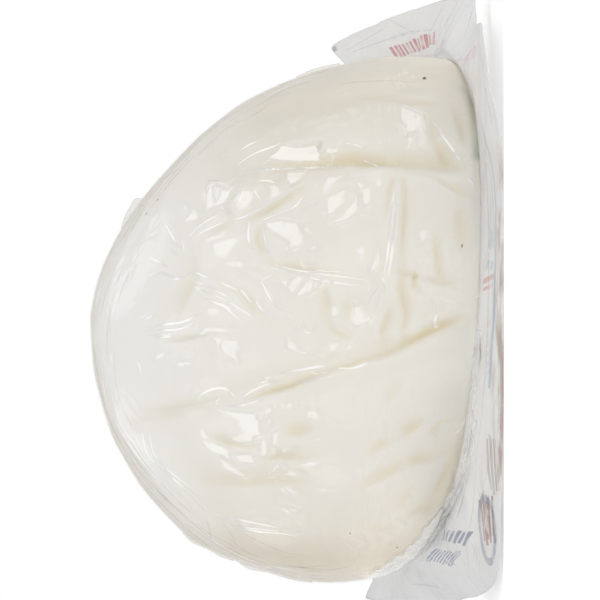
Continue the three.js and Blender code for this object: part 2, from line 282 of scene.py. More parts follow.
# Soft hollows of the cheese, or swellings where negative: depth in millimetres, half width, then points
HOLLOWS = [
    (0.55, 4, [(262, 164), (300, 163), (330, 162), (350, 159), (376, 162), (400, 163), (430, 166),
     (455, 167)]),
    (0.55, 3.2, [(368, 361), (385, 357), (400, 349), (420, 338), (440, 328), (464, 318)]),
    (0.5, 2.2, [(245, 400), (270, 393), (290, 388), (310, 379), (330, 373), (345, 369), (368, 361)]),
    (0.22, 2.4, [(146, 413), (166, 411), (190, 406), (208, 401), (222, 394)]),
    (0.4, 2.4, [(386, 222), (388, 205), (391, 190), (396, 176)]),
    (0.5, 2.6, [(402, 172), (404, 195), (403, 215), (402, 240), (402, 262)]),
    (0.6, 4, [(402, 262), (399, 288), (405, 312), (402, 336)]),
    (0.35, 1.4, [(374, 269), (392, 270), (410, 275), (420, 278), (445, 284), (463, 280)]),
    (0.4, 2, [(417, 263), (413, 283), (417, 296)]),
    (0.35, 2.4, [(436, 222), (435, 250), (439, 274), (448, 284)]),
    (0.4, 4.5, [(428, 122), (434, 140), (444, 158), (455, 167)]),
    (0.35, 3, [(446, 98), (458, 120), (464, 150)]),
    (0.4, 2.4, [(430, 175), (448, 185), (462, 195), (473, 200)]),
    (0.3, 5, [(458, 206), (457, 235), (463, 255)]),
    (0.35, 3.5, [(356, 92), (372, 96), (400, 100), (436, 104)]),
    (0.55, 4.2, [(403, 436), (412, 430), (426, 420)]),
    (0.4, 2, [(452, 420), (440, 423), (433, 431), (437, 441), (447, 441)]),
    (0.5, 4, [(406, 463), (425, 460), (443, 454), (458, 447)]),
    (0.4, 3.2, [(459, 448), (451, 465), (441, 483), (434, 496)]),
    (0.45, 3.4, [(362, 489), (374, 479), (392, 471), (404, 465)]),
    (0.3, 3.2, [(368, 453), (382, 444), (393, 439)]),
    (0.5, 3.2, [(406, 523), (414, 517), (428, 512), (446, 502)]),
    (0.35, 3, [(364, 531), (384, 532), (399, 528)]),
    (0.25, 3.6, [(397, 513), (404, 501), (413, 487)]),
    (0.25, 4.4, [(384, 404), (398, 391), (406, 374)]),
    (0.2, 5, [(140, 423), (158, 418), (178, 414), (196, 411), (214, 409)]),
    (0.45, 4, [(208, 441), (228, 446), (256, 448)]),
    (0.45, 3.6, [(262, 462), (276, 458), (300, 458), (322, 452)]),
    (0.35, 5, [(284, 432), (298, 433), (314, 430)]),
    (0.3, 6, [(182, 476), (206, 485), (240, 488), (275, 483), (312, 482)]),
    (0.3, 1.6, [(160, 341), (180, 340), (205, 336), (224, 329)]),
    (0.3, 5, [(176, 325), (184, 302), (196, 278), (190, 252)]),
    (0.35, 2.4, [(306, 184), (280, 198), (262, 209), (240, 219)]),
    (0.3, 3.2, [(256, 222), (255, 240), (262, 256)]),
    (0.3, 3, [(214, 279), (240, 292), (250, 306), (264, 320)]),
    (0.3, 2.5, [(322, 322), (336, 333), (352, 340)]),
    (0.35, 3.4, [(392, 306), (381, 330), (383, 352)]),
    (0.25, 3, [(264, 264), (300, 268), (340, 273)]),
    (0.3, 3, [(233, 213), (222, 222), (205, 230)]),
    (0.2, 6, [(420, 262), (424, 285)]),
    (0.3, 4, [(330, 322), (327, 300), (322, 286)]),
    (0.25, 4, [(346, 300), (344, 318)]),
    (-0.4, 2.6, [(393, 190), (391, 215), (390, 240), (387, 266)]),
    (-0.45, 4, [(404, 226), (410, 242), (418, 262), (421, 280), (427, 292), (446, 303), (470, 310)]),
    (-0.3, 3.6, [(346, 171), (400, 173), (430, 178), (448, 184)]),
    (-0.35, 2.8, [(472, 326), (440, 340), (405, 353), (385, 360), (358, 367)]),
    (-0.5, 5, [(441, 432), (444, 435)]),
    (-0.3, 5, [(386, 88), (410, 92), (438, 97)]),
    (-0.3, 4, [(418, 310), (411, 326), (412, 336)]),
]

# Dark creases of both films outside the ball, laid as strips of painted shade: half width, then points
FLANGE_CREASES = [
    (0.8, [(390, 19), (402, 27), (413, 32)]),
    (0.9, [(352, 52), (380, 42), (413, 32), (440, 30)]),
    (0.8, [(458, 2), (447, 22), (432, 50)]),
    (0.6, [(445, 3), (436, 20), (425, 42)]),
    (0.7, [(474, 5), (470, 20), (464, 40)]),
    (0.6, [(346, 51), (368, 38), (388, 26)]),
    (0.6, [(478, 26), (480, 45), (486, 90), (493, 128)]),
    (0.7, [(484, 120), (488, 200), (489, 260), (488, 320), (485, 380), (480, 430), (474, 470)]),
    (0.6, [(491, 170), (495, 240), (494, 320), (490, 390)]),
    (1, [(483, 221), (489, 220), (496, 221)]),
    (0.8, [(492, 440), (489, 463), (484, 486)]),
    (0.6, [(470, 465), (464, 495), (457, 518)]),
    (0.6, [(477, 455), (474, 500), (470, 530)]),
    (0.8, [(466, 545), (469, 562), (467, 588)]),
    (0.7, [(474, 535), (477, 560), (474, 590)]),
    (0.6, [(480, 560), (478, 575), (480, 590)]),
    (0.6, [(470, 540), (476, 552), (472, 566), (479, 578)]),
    (0.6, [(463, 560), (470, 572), (466, 585)]),
    (0.7, [(425, 592), (440, 578), (458, 570)]),
    (0.7, [(392, 586), (420, 584), (450, 590)]),
    (0.6, [(400, 578), (415, 560), (432, 545)]),
    (0.6, [(485, 570), (494, 566), (499, 560)]),
]

# Bright crests of both films outside the ball: half width, then points
FLANGE_CRESTS = [
    (0.9, [(476, 196), (474, 215), (477, 235), (475, 256)]),
    (0.7, [(478, 300), (477, 320), (474, 340)]),
    (0.8, [(466, 418), (460, 428), (457, 432)]),
    (0.8, [(467, 444), (463, 456)]),
    (0.9, [(441, 500), (446, 497), (450, 500)]),
    (0.7, [(423, 541), (428, 538)]),
    (0.7, [(380, 583), (392, 577), (400, 570)]),
    (0.7, [(372, 570), (381, 574), (388, 572)]),
]

# The strip of loose clear film between the cheese and the seal: its bright streaks, and its long edges
LOOSE_STREAKS = 25
LOOSE_EDGES = [
    [(478, 330), (473, 380), (471, 430), (465, 463), (455, 487), (438, 511), (420, 534), (400, 553),
     (384, 565), (369, 572)],
    [(484, 330), (479, 380), (476, 440), (472, 463), (459, 495), (441, 529), (423, 553), (402, 569),
     (384, 577), (369, 576)],
]

# Specks on the cheese: place, then half length and half width in millimetres
SPECKS = [
    ((424.5, 78.6), 0.42, 0.27),
    ((462, 246), 0.26, 0.08),
    ((350, 533), 0.14, 0.1),
    ((397, 547), 0.16, 0.12),
    ((158, 200), 0.13, 0.1),
    ((147, 214), 0.12, 0.09),
]

# Small pleats that stand out from the ball's outline: place, then height in millimetres
PLEATS = [
    [(138, 196, 0.1), (136, 199, 1), (131, 207, 0.9), (125, 218, 0.6), (119, 228, 0.1)],
    [(185, 530, 0.1), (196, 541, 0.3), (206, 549, 0.1), (220, 557, 0.3), (232, 563, 0.1)],
    [(238, 566, 0.1), (250, 571, 0.4), (268, 576, 0.15), (290, 580, 0.3), (312, 583, 0.1)],
    [(300, 95, 0.1), (318, 86, 0.4), (340, 78, 0.2)],
]

# Bunches of fine streaks along the outline: from and to, as shares of the way from the crown (0) to
# the widest ring on +X (1) or -X (-1), how deep they reach in, and how many are bright and dark, the dark
# ones strips of painted shade
RIM_STREAKS = [(-0.45, 0.25, 0.11, 11, 11), (0.3, 0.9, 0.06, 2, 7), (-0.95, -0.45, 0.08, 4, 10)]
# The least share that a streak reaches in, and the steps that spread streaks evenly over a bunch
STREAK_REACH = 0.012
PLACE_STEP = 0.755
REACH_STEP = 0.570
STREAK_POINTS = 14
STREAK_SWAY = 0.35
DARK_WIDENING = 1.6

# A hollow falls off gently on the left of its path and steeply on the right
BROAD_SIDE = 2.1
STEEP_SIDE = 0.8
# How the far side's creases are stretched and shifted along X
FAR_STRETCH = 1.05
FAR_SHIFT = 3
# Where the rays start that lay creases on the far side, and how near the middle plane they may end
FAR_RAY_START = 200
FAR_RAY_LIMIT = 6
# How far from the middle plane the creases fade in on each side: start and width
NEAR_FADE = (0.5, 4)
FAR_FADE = (6, 8)

# Slow lumps of the soft cheese: height, radians per millimetre along each axis, start
LUMPS = [
    (0.3, (0.11, 0.05, -0.08), 1.2),
    (0.25, (-0.13, 0.19, 0.1), 3.3),
    (0.2, (0.1, -0.12, 0.21), 1.7),
]
# Ripples of the free flange: height, waves round it, start. They fade in above a height
RIPPLES = [(0.5, 7, 0.8), (0.35, 13, 2.1)]
RIPPLE_FLOOR = 0.8
RIPPLE_FADE = 3

# Uneven surfaces as sums of waves: wavelength, number of waves, seed of their random directions
HOLLOW_WAVES = (8, 6, 17)
CHEESE_WAVES = (9, 6, 8)
OUTLINE_WAVES = (1.6, 5, 41)
NET_WAVES = (26, 6, 3)
FAR_SHINE_WAVES = (11, 7, 77)
FAR_GLINT_WAVES = (3.5, 6, 78)
SEAL_SHINE_WAVES = (4, 6, 61)
CRUMPLE_WAVES = (3.6, 6, 51)
FINE_CRUMPLE_WAVES = (1.4, 6, 52)
WRINKLE_WAVES = (7.0, 6, 31)
RIB_WAVES = (9.0, 5, 32)

# Seeds of the random draws: the net of facets, the streaks along the outline, the widths of the strips,
# the streaks on the loose film, and the specks
NET_SEED, OUTLINE_SEED, STRIP_SEED, LOOSE_SEED, SPECK_SEED = 5, 12, 7, 23, 4

# The net of small facets that the film breaks into, with its sites on a round body near the dome
NET_SPACING = 6.5
NET_FLATNESS = 0.0125
NET_UNEVENNESS = 0.10
NET_SHARE = 0.5
NET_RADII = (41, 41, 38)
NET_CENTRE = (0, 0, 23)

# How sharply the outline of a bright facet ends, and how ragged it is
FACET_EDGE = (-0.08, 0.22)
FACET_LEVELLING = (-0.5, 0.55)
FACET_RAGGEDNESS = 0.14

# How far in front of and behind the middle plane the cheese lies tight against the film
TIGHT_START = 8
TIGHT_WIDTH = 12

# Where a painted green reflection of the print shows in the cheese's lower edge, as the ends of a line
GREEN_REFLECTION_LINE = [(34.4, -21.2, 4.0), (24.2, -32.8, 2.6)]

# How far a bright facet or crest may turn towards mirroring a bright panel, in degrees
FACET_LEAN = 18
CREST_LEAN = 35
LEAN_SPARE = 2

# How far the strips of doubled film lie above the film's faces
STRIP_LIFT = 0.04
STRIP_SIDES = 12
# How squarely a face has to look to the front, at least, for a crease of the picture to lie on it
GRAZING = 0.14
# The height of the point that the ball's radial directions start from, and a reach past the ball
CENTRE_HEIGHT = 22
OUTSIDE = 100

# Rows of slanted bars printed on the outer side of the film: middle, turn in degrees, length, height,
# spacing, how far a bar leans along the row for each step up it, colour and how much it covers
RED, PINK, NAVY, BLUE = (0.62, 0.14, 0.15), (0.72, 0.34, 0.32), (0.16, 0.21, 0.38), (0.33, 0.52, 0.72)
BROWN, RUSSET = (0.26, 0.17, 0.13), (0.45, 0.13, 0.10)
PRINT_BARS = [
    ((43.5, 22.3), -85, 18.0, 2.4, 1.5, 0.2, RED, 0.8),
    ((39.0, -17.0), -85, 20.0, 2.2, 4.0, 0.3, PINK, 0.4),
    ((-32.4, -29.2), -90, 10.5, 2.4, 1.9, -1.6, NAVY, 0.8),
    ((-35.9, -20.8), -90, 12.5, 3.0, 1.25, -3.5, NAVY, 0.8),
    ((-29.4, -43.6), 90, 8.5, 8.0, 2.3, 0.15, RUSSET, 0.7),
    ((-28.4, -44.4), 90, 7.0, 8.0, 1.7, 0.1, BROWN, 0.75),
    ((-21.0, -47.2), 90, 3.6, 10.0, 1.1, 0.25, BROWN, 0.45),
    ((11.6, -44.9), 90, 2.6, 3.2, 1.0, 0.1, BLUE, 0.5),
    ((7.9, -44.9), 90, 2.6, 1.6, 1.3, -0.1, BLUE, 0.5),
    ((43.8, 44.2), 0, 1.4, 1.6, 1.5, 0.2, NAVY, 0.6),
    ((5.5, -45.5), 0, 2.2, 3.5, 1.2, 0.3, PINK, 0.6),
    ((-4.0, -46.0), 0, 8.0, 1.2, 1.4, 0.3, PINK, 0.25),
]
# Rings printed on the film: middle, radius, width, colour, cover
PRINT_RINGS = [((-30.6, -43.4), 4.7, 1.1, NAVY, 0.6)]
# The printed border line: its middle, half length and half width, and how it bends away at both ends
BORDER_MIDDLE = (9.5, -47.4)
BORDER_HALF_LENGTH = 19.5
BORDER_HALF_WIDTH = 0.28
BORDER_BENDS = [(16, 1, 0.42), (-1, -1, 0.12)]
# The speckled edge: its colour, its middle along X, its slope away from there, where it starts and is
# full across the film, and where it ends along X
SPECKLE_BROWN = (0.40, 0.27, 0.2)
SPECKLED_MIDDLE = -6
SPECKLED_SLOPE = 0.03
SPECKLED_ACROSS = (-46.2, -48.2)
SPECKLED_ENDS = (26, 20)

# Colours that the cheese and the printed film turn to in places: pale flecks, a painted green reflection of
# the print in the cheese's lower edge, and greyer film
PALE_FLECKS = (0.93, 0.92, 0.9)
GREEN_REFLECTION = (0.36, 0.50, 0.38)
GREY_FILM = (0.78, 0.785, 0.8)
# Colours of the dark creases, which are painted shade, of the film that lies loose or stands out in pleats,
# and of the specks
SHADOW_BROWN = (0.46, 0.39, 0.26)
CREASE_SHADE_GREY = (0.36, 0.36, 0.37)
LOOSE_WHITE = (0.88, 0.88, 0.87)
PLEAT_WHITE = (0.9, 0.9, 0.88)
SPECK_BROWN = (0.09, 0.055, 0.04)
# Painted light: between which heights the cheese goes from its whiter crown, lit from above and whitened by
# the film's sheen, to its creamier flank, and how far its soft patches shift them
TOP_LIGHT_HEIGHTS = (62, 30)
TOP_LIGHT_SHIFT = 12
# How far from its line the painted green reflection starts and is full, and how uneven that is
GREEN_REFLECTION_REACH = (3, 1)
GREEN_REFLECTION_UNEVENNESS = 2
# Painted shade: between which heights the cheese's turned side darkens, and between which places along X its
# low end
SHADE_HEIGHTS = (52, 34)
SHADE_END = (-31, -40)
# Painted light: between which heights the cheese's foot and outline start to glow, and where along X the
# foot glows more
FOOT_HEIGHTS = (24, 8)
OUTLINE_HEIGHTS = (20, 8)
FOOT_END = (15, -20)
# Between which places along X the printed film turns greyer
GREY_END = (-26, -40)
# The size of the crinkles in the clear film's shine and in the printed film
CLEAR_CRINKLE = 3.2
PRINTED_CRINKLE = 4

# Noise in the materials: scale per metre, detail and, where it isn't 0.5, roughness
TOP_LIGHT_NOISE = (55.0, 3.0, 0.55)
MOTTLE_NOISE = (210.0, 4.0, 0.6)
FIBRE_NOISE = (420.0, 4.0)
GLOSS_NOISE = (520.0, 3.0)
SPECKLE_NOISE = (380.0, 4.0)
WORN_NOISE = (420.0, 3.0)
CLOUD_NOISE = (60.0, 3.0)
CRINKLE_NOISE = (95.0, 2.0)
STREAK_NOISE = (700.0, 2.0)

# The camera of the photo: level, turned a quarter so that the table is at the right of the picture
CAMERA_DISTANCE = 700
CAMERA_HEIGHT = 29.3
CAMERA_ALONG = 2.8
FOCAL_PIXELS = 4515
PIXELS_PER_MM = FOCAL_PIXELS / CAMERA_DISTANCE
PICTURE_PIXELS = 600
SENSOR_MM = 36

# The bright panels of the surround, as degrees sideways from the front and degrees up
BRIGHT_PANELS = [
    (-70, 12), (-24, 8), (20, 10), (64, 14), (108, 18), (-110, 20), (-74, 50), (-22, 44), (26, 48),
    (76, 48), (0, 84), (150, 52), (-145, 50),
]
# How far from its middle a panel is fully bright, and where its soft edge ends, in degrees
PANEL_CORE = 8
PANEL_EDGE = 12
# The strength of the panels and of the tent between them
BRIGHT_LEVEL = 1.24
DIM_LEVEL = 0.735


def ramp(value, start, width):
    """0 before start, 1 after start + width, straight between."""
    return np.clip((value - start) / width, 0, 1)


def smooth(value, start, width):
    """A ramp with soft ends."""
    t = ramp(value, start, width)
    return t * t * (3 - 2 * t)


def unit(vector):
    """The vector with a length of 1."""
    vector = np.asarray(vector, float)
    return vector / np.linalg.norm(vector)


def cubic(a, b, c, d, t):
    """The Catmull-Rom curve from b to c."""
    return 0.5 * (2 * b + (c - a) * t + (2 * a - 5 * b + 4 * c - d) * t**2 + (3 * b - 3 * c + d - a) * t**3)


def around(table, angle):
    """A smooth closed interpolation of a table with one value at every equal step of a turn."""
    table = np.asarray(table, float)
    place = np.asarray(angle) / TAU * len(table)
    step = np.floor(place).astype(int)
    near = [table[(step + i) % len(table)] for i in (-1, 0, 1, 2)]
    return cubic(*near, place - step)


def smooth_path(points, spacing):
    """A smooth open curve through points, with its own points about evenly spaced."""
    points = np.asarray(points, float)
    padded = np.concatenate([[2 * points[0] - points[1]], points, [2 * points[-1] - points[-2]]])
    t = np.linspace(0, 1, 12, endpoint=False)[:, None]
    rows = [cubic(*padded[k : k + 4], t) for k in range(len(points) - 1)]
    dense = np.concatenate([*rows, points[-1:]])
    run = np.concatenate([[0], np.cumsum(np.linalg.norm(np.diff(dense, axis=0), axis=1))])
    count = max(4, int(run[-1] / spacing))
    even = np.linspace(0, run[-1], count)
    return np.stack([np.interp(even, run, dense[:, i]) for i in range(dense.shape[1])], -1)


def polar(radius, angle, z):
    """Points at a radius and an angle round the upright axis."""
    return np.stack([radius * np.cos(angle), radius * np.sin(angle), z], -1)


def dome(angle, t, foot_radius, foot_height):
    """The dome at t: 0 is the crown, 1 the widest ring and 2 the foot."""
    widest = around(WIDEST_RADIUS, angle)
    height = around(WIDEST_HEIGHT, angle)
    upper = np.minimum(t, 1) * math.pi / 2
    lower = np.clip(t - 1, 0, 1) * math.pi / 2
    flank = 2 / around(FLANK_ROUNDNESS, angle)
    above_r = widest * np.sin(upper) ** (2 / around(SHOULDER_ROUNDNESS, angle))
    cos_upper = np.maximum(np.cos(upper), 0)
    above_z = height + (BALL_HEIGHT - height) * cos_upper ** (2 / around(CROWN_ROUNDNESS, angle))
    below_r = foot_radius + (widest - foot_radius) * np.maximum(np.cos(lower), 0) ** flank
    below_z = height - (height - foot_height) * np.sin(lower) ** flank
    return polar(np.where(t <= 1, above_r, below_r), angle, np.where(t <= 1, above_z, below_z))


def rim_curve():
    """The rim as a closed smooth curve, with its angle about the origin."""
    points = np.array(FILM_RIM, float)
    count = len(points)
    t = np.linspace(0, 1, 24, endpoint=False)[:, None]
    rows = [cubic(*(points[(k + i) % count] for i in (-1, 0, 1, 2)), t) for k in range(count)]
    curve = np.concatenate(rows)
    curve[:, 2] = np.maximum(curve[:, 2], 0)
    angle = np.arctan2(curve[:, 1], curve[:, 0]) % TAU
    order = np.argsort(angle)
    return curve[order], angle[order]


RIM, RIM_ANGLE = rim_curve()


def rim_at(angle):
    """Points of the rim at angles about the origin."""
    return np.stack([np.interp(angle % TAU, RIM_ANGLE, RIM[:, i], period=TAU) for i in range(3)], -1)


def underside(angle, s):
    """The printed film's lower face: s is 0 at the centre, 1 at the seal and 2 at the rim."""
    contact = around(CONTACT_RADIUS, angle)
    seal = around(SEAL_RADIUS, angle)
    seal_height = around(SEAL_HEIGHT, angle)
    radius = seal * np.minimum(s, 1)
    inner = polar(radius, angle, seal_height * ramp(radius, contact, seal - contact) ** UNDERSIDE_RISE)
    t = np.clip(s - 1, 0, 1)[..., None]
    outer = polar(seal, angle, seal_height) * (1 - t) + rim_at(angle) * t
    t = t[..., 0]
    ripple = sum(height * np.sin(count * angle + start) for height, count, start in RIPPLES)
    outer[..., 2] += ripple * ramp(outer[..., 2], RIPPLE_FLOOR, RIPPLE_FADE) * np.sin(math.pi * t)
    return np.where((s <= 1)[..., None], inner, outer)


def grid_normals(points):
    """Outward normals of a closed ring grid whose rows run outwards or downwards."""
    down = np.gradient(points, axis=0)
    side = np.roll(points, -1, axis=1) - np.roll(points, 1, axis=1)
    normal = np.cross(down, side)
    return normal / np.maximum(np.linalg.norm(normal, axis=-1, keepdims=True), 1e-9)


def waves(p, wavelength, count, seed):
    """Smooth noise, mostly from -1 to 1, as a sum of sine waves in random directions."""
    rng = np.random.default_rng(seed)
    total = np.zeros(p.shape[:-1])
    for _ in range(count):
        direction = unit(rng.normal(size=3)) * TAU / wavelength * rng.uniform(0.7, 1.4)
        total += np.sin(p @ direction + rng.uniform(0, TAU))
    return total / math.sqrt(count)


def lumps(p):
    """The height of the slow lumps."""
    return sum(height * np.sin(p @ np.array(along) + start) for height, along, start in LUMPS)


def path_distance(x, z, path):
    """The distance from points (x, z) to a broken line."""
    best = np.full(x.shape, 1e9)
    for (ax, az), (bx, bz) in zip(path, path[1:]):
        dx, dz = bx - ax, bz - az
        t = np.clip(((x - ax) * dx + (z - az) * dz) / (dx * dx + dz * dz), 0, 1)
        best = np.minimum(best, np.hypot(x - ax - t * dx, z - az - t * dz))
    return best


def path_frame(x, z, path):
    """The distance to a broken line, the nearest place along it from 0 to 1, and the side of it."""
    steps = [math.dist(a, b) for a, b in zip(path, path[1:])]
    before, total = np.cumsum([0] + steps), sum(steps)
    best, place, side = np.full(x.shape, 1e9), np.zeros(x.shape), np.ones(x.shape)
    for (ax, az), (bx, bz), length, start in zip(path, path[1:], steps, before):
        dx, dz = (bx - ax) / length, (bz - az) / length
        t = np.clip((x - ax) * dx + (z - az) * dz, 0, length)
        away = np.hypot(x - ax - t * dx, z - az - t * dz)
        closer = away < best
        best = np.where(closer, away, best)
        place = np.where(closer, (start + t) / total, place)
        side = np.where(closer, np.sign(dx * (z - az) - dz * (x - ax)), side)
    return best, place, side


def broad_folds(p):
    """The height of the broad folds, negative where they press in."""
    push = np.zeros(p.shape[:-1])
    for side, path, depth, half in FOLDS:
        facing = ramp(side * p[..., 1], FACING_START, FACING_WIDTH)
        push -= depth * facing * np.exp(-((path_distance(p[..., 0], p[..., 2], path) / half) ** 2))
    return push


def on_plane(points):
    """Places in the picture as (x, z) in millimetres on the upright plane through the ball's axis."""
    middle = PICTURE_PIXELS / 2
    return [(CAMERA_ALONG + (middle - py) / PIXELS_PER_MM, CAMERA_HEIGHT + (middle - px) / PIXELS_PER_MM)
            for px, py in points]


def lines_on_plane(lines):
    """Half widths and points in the picture as half widths and points in millimetres."""
    return [(half / PIXELS_PER_MM, on_plane(points)) for half, points in lines]


def seen(p):
    """Where points are seen from the front, as x and z, and how surely they carry the creases."""
    scale = CAMERA_DISTANCE / (CAMERA_DISTANCE + p[..., 1])
    front = p[..., 1] < 0
    x_front = CAMERA_ALONG + (p[..., 0] - CAMERA_ALONG) * scale
    z_front = CAMERA_HEIGHT + (p[..., 2] - CAMERA_HEIGHT) * scale
    x = np.where(front, x_front, FAR_SHIFT - p[..., 0] * FAR_STRETCH)
    z = np.where(front, z_front, p[..., 2])
    weight = np.where(front, smooth(-p[..., 1], *NEAR_FADE), smooth(p[..., 1], *FAR_FADE))
    return x, z, weight


def hollows(p):
    """The soft hollows and swellings of the cheese, hollows positive."""
    cut_off, end_share, bluntness = 5, 0.02, 0.6
    x, z, weight = seen(p)
    total = np.zeros(x.shape)
    for depth, half_pixels, points in HOLLOWS:
        half, path = half_pixels / PIXELS_PER_MM, on_plane(points)
        corners = np.array(path)
        low, high = corners.min(0) - cut_off * half, corners.max(0) + cut_off * half
        near = (x > low[0]) & (x < high[0]) & (z > low[1]) & (z < high[1]) & (weight > 0)
        if near.any():
            away, place, side = path_frame(x[near], z[near], path)
            width = half * np.where(side > 0, BROAD_SIDE, STEEP_SIDE)
            taper = np.sin(math.pi * np.clip(place, end_share, 1 - end_share)) ** bluntness
            total[near] += depth * taper * np.exp(-((away / width) ** 2))
    uneven = 0.8 + 0.3 * waves(p, *HOLLOW_WAVES)
    return total * weight * np.clip(uneven, 0.25, 1.4)


def facet_net(p):
    """A net of flat facets with sharp crests between them, as a height over the dome."""
    rng = np.random.default_rng(NET_SEED)
    mean_radius, batch = 42, 8192
    count = int(4 * math.pi * mean_radius**2 / NET_SPACING**2)
    heading = rng.normal(size=(count, 3))
    heading /= np.linalg.norm(heading, axis=1, keepdims=True)
    sites = heading * NET_RADII + NET_CENTRE
    start = NET_FLATNESS * (sites**2).sum(1) + rng.uniform(-NET_UNEVENNESS, NET_UNEVENNESS, count)
    flat = p.reshape(-1, 3)
    best = np.empty(len(flat))
    for first in range(0, len(flat), batch):
        part = flat[first : first + batch]
        level = part @ (-2 * NET_FLATNESS * sites.T) + start
        best[first : first + batch] = level.min(1) + NET_FLATNESS * (part**2).sum(1)
    net = best.reshape(p.shape[:-1])
    return net - np.median(net)


def outline_depth(x, z, corners):
    """How far points lie inside a closed outline, negative outside."""
    inside = np.zeros(x.shape, bool)
    for (ax, az), (bx, bz) in zip(corners, corners[1:] + corners[:1]):
        if az != bz:
            crossing = (az > z) != (bz > z)
            inside ^= crossing & (x < (bx - ax) * (z - az) / (bz - az) + ax)
    away = path_distance(x, z, corners + corners[:1])
    return np.where(inside, away, -away)


def panel_direction(sideways, up):
    """The direction towards a bright panel that is placed by two angles in degrees."""
    sideways, up = math.radians(sideways), math.radians(up)
    level = math.cos(up)
    return np.array([math.sin(sideways) * level, -math.cos(sideways) * level, math.sin(up)])


def limited_lean(normal, limit):
    """The normal, turned within a limit towards mirroring a bright panel to the front or the back."""
    eye = (0, math.copysign(1, normal[1]), 0)
    halfway = [unit(panel_direction(*panel) + eye) for panel in BRIGHT_PANELS]
    wanted = max(halfway, key=lambda vector: float(normal @ vector))
    angle = math.degrees(math.acos(max(-1, min(1, float(normal @ wanted)))))
    turn = math.radians(min(limit, max(0, angle - LEAN_SPARE)))
    aside = wanted - normal * float(normal @ wanted)
    if turn == 0 or np.linalg.norm(aside) < 1e-6:
        return normal
    return normal * math.cos(turn) + unit(aside) * math.sin(turn)


def bright_facets(p, normal, height):
    """Levels the film's height to its bright facets, and gives the film's gloss, from 0 to 1."""
    margin, least_facing, most_change = 1, 0.5, 1
    x, z, weight = seen(p)
    ragged = FACET_RAGGEDNESS * waves(p, *OUTLINE_WAVES)
    gloss = np.zeros(x.shape)
    for corners in map(on_plane, FACET_OUTLINES):
        middle = np.mean(corners, 0)
        reach = np.abs(np.array(corners) - middle).max(0) + margin
        boxed = (np.abs(x - middle[0]) < reach[0]) & (np.abs(z - middle[1]) < reach[1])
        for side in (-1, 1):
            near = (side * p[..., 1] > 0) & boxed
            if not near.any():
                continue
            depth = outline_depth(x[near], z[near], corners)
            share = smooth(depth + ragged[near], *FACET_EDGE) * weight[near]
            gloss[near] = np.maximum(gloss[near], share)
            nearest = np.argmin((x[near] - middle[0]) ** 2 + (z[near] - middle[1]) ** 2)
            origin, facing = p[near][nearest], normal[near][nearest]
            centre = origin + facing * height[near][nearest]
            lean = limited_lean(facing, FACET_LEAN)
            level = ((centre - p[near]) @ lean) / np.maximum(normal[near] @ lean, least_facing)
            blend = smooth(depth, *FACET_LEVELLING) * weight[near]
            old = height[near]
            height[near] += (np.clip(level, old - most_change, old + most_change) - old) * blend
    return height, gloss


def film_height(p, normal):
    """How far the clear film stands out from the smooth dome, and its gloss."""
    foot, low_band, low_share = (5, 6), (14, 10), 0.4
    broad_fade, fine_fade, far_shine = (0.55, 0.25), (-0.1, 0.3), 0.8
    above = p[..., 2]
    foot_fade = smooth(above, *foot)
    unseen = 1 - seen(p)[2]
    uneven = np.clip(0.6 + 0.4 * waves(p, *NET_WAVES), 0.1, 1)
    net = uneven * NET_SHARE * facet_net(p) * (1 + unseen)
    height = lumps(p) + FOLD_SHARE * broad_folds(p) - FILM_HOLLOW_SHARE * hollows(p)
    height += net * foot_fade * (low_share + (1 - low_share) * smooth(above, *low_band))
    height, gloss = bright_facets(p, normal, height)
    broad, fine = waves(p, *FAR_SHINE_WAVES), waves(p, *FAR_GLINT_WAVES)
    patches = smooth(broad, *broad_fade) * smooth(fine, *fine_fade)
    return height, np.maximum(gloss, far_shine * unseen * patches * foot_fade)


def cheese_height(p, normal, gap):
    """How far the cheese stands out from the smooth dome, never through the film."""
    film = film_height(p, normal)[0]
    own = lumps(p) + FOLD_SHARE * broad_folds(p) - hollows(p) + 0.1 * waves(p, *CHEESE_WAVES)
    soft = np.minimum(own, film)
    tight = 1 - smooth(np.abs(p[..., 1]), TIGHT_START, TIGHT_WIDTH)
    return soft * (1 - tight) + film * tight - gap


def ring_angles(count, front_share):
    """Angles of a ring of columns, closer together on the front half, which faces -Y."""
    samples, front_start, front_width = 2048, -0.25, 0.4
    turn = np.linspace(0, TAU, samples)
    density = 1 + (front_share - 1) * smooth(-np.sin(turn), front_start, front_width)
    total = np.concatenate([[0], np.cumsum(0.5 * (density[1:] + density[:-1]))])
    return np.interp(np.arange(count) / count, total / total[-1], turn)


def dome_steps(rows):
    """Values of t that are evenly spaced along the dome's profile on the front side."""
    samples, front = 1200, 1.5 * math.pi
    t = np.linspace(0, 2, samples)
    angle = np.full_like(t, front)
    line = dome(angle, t, around(SEAL_RADIUS, angle), around(SEAL_HEIGHT, angle))
    run = np.concatenate([[0], np.cumsum(np.linalg.norm(np.diff(line, axis=0), axis=1))])
    return np.interp(np.linspace(0, run[-1], rows + 1)[1:], run, t)


def mesh_object(name, points, faces, material, edges=()):
    """An object in the scene with smooth faces between points that are given in millimetres."""
    mesh = bpy.data.meshes.new(name)
    mesh.from_pydata((np.asarray(points, float) * MM).tolist(), edges, faces)
    mesh.polygons.foreach_set("use_smooth", np.ones(len(mesh.polygons), bool))
    mesh.materials.append(material)
    mesh.update()
    piece = bpy.data.objects.new(name, mesh)
    bpy.context.scene.collection.objects.link(piece)
    return piece


def add_values(piece, name, values):
    """Adds one number per vertex to a piece, for its material."""
    layer = piece.data.attributes.new(name, "FLOAT", "POINT")
    layer.data.foreach_set("value", np.asarray(values, np.float32))


def ring_faces(rows, columns, first):
    """Quads between rows of a ring grid whose vertices start at index first."""
    i, j = np.meshgrid(np.arange(rows - 1), np.arange(columns), indexing="ij")
    k = (j + 1) % columns
    a, b = first + i * columns + j, first + (i + 1) * columns + j
    c, d = first + (i + 1) * columns + k, first + i * columns + k
    return np.stack([a, b, c, d], -1).reshape(-1, 4).tolist()


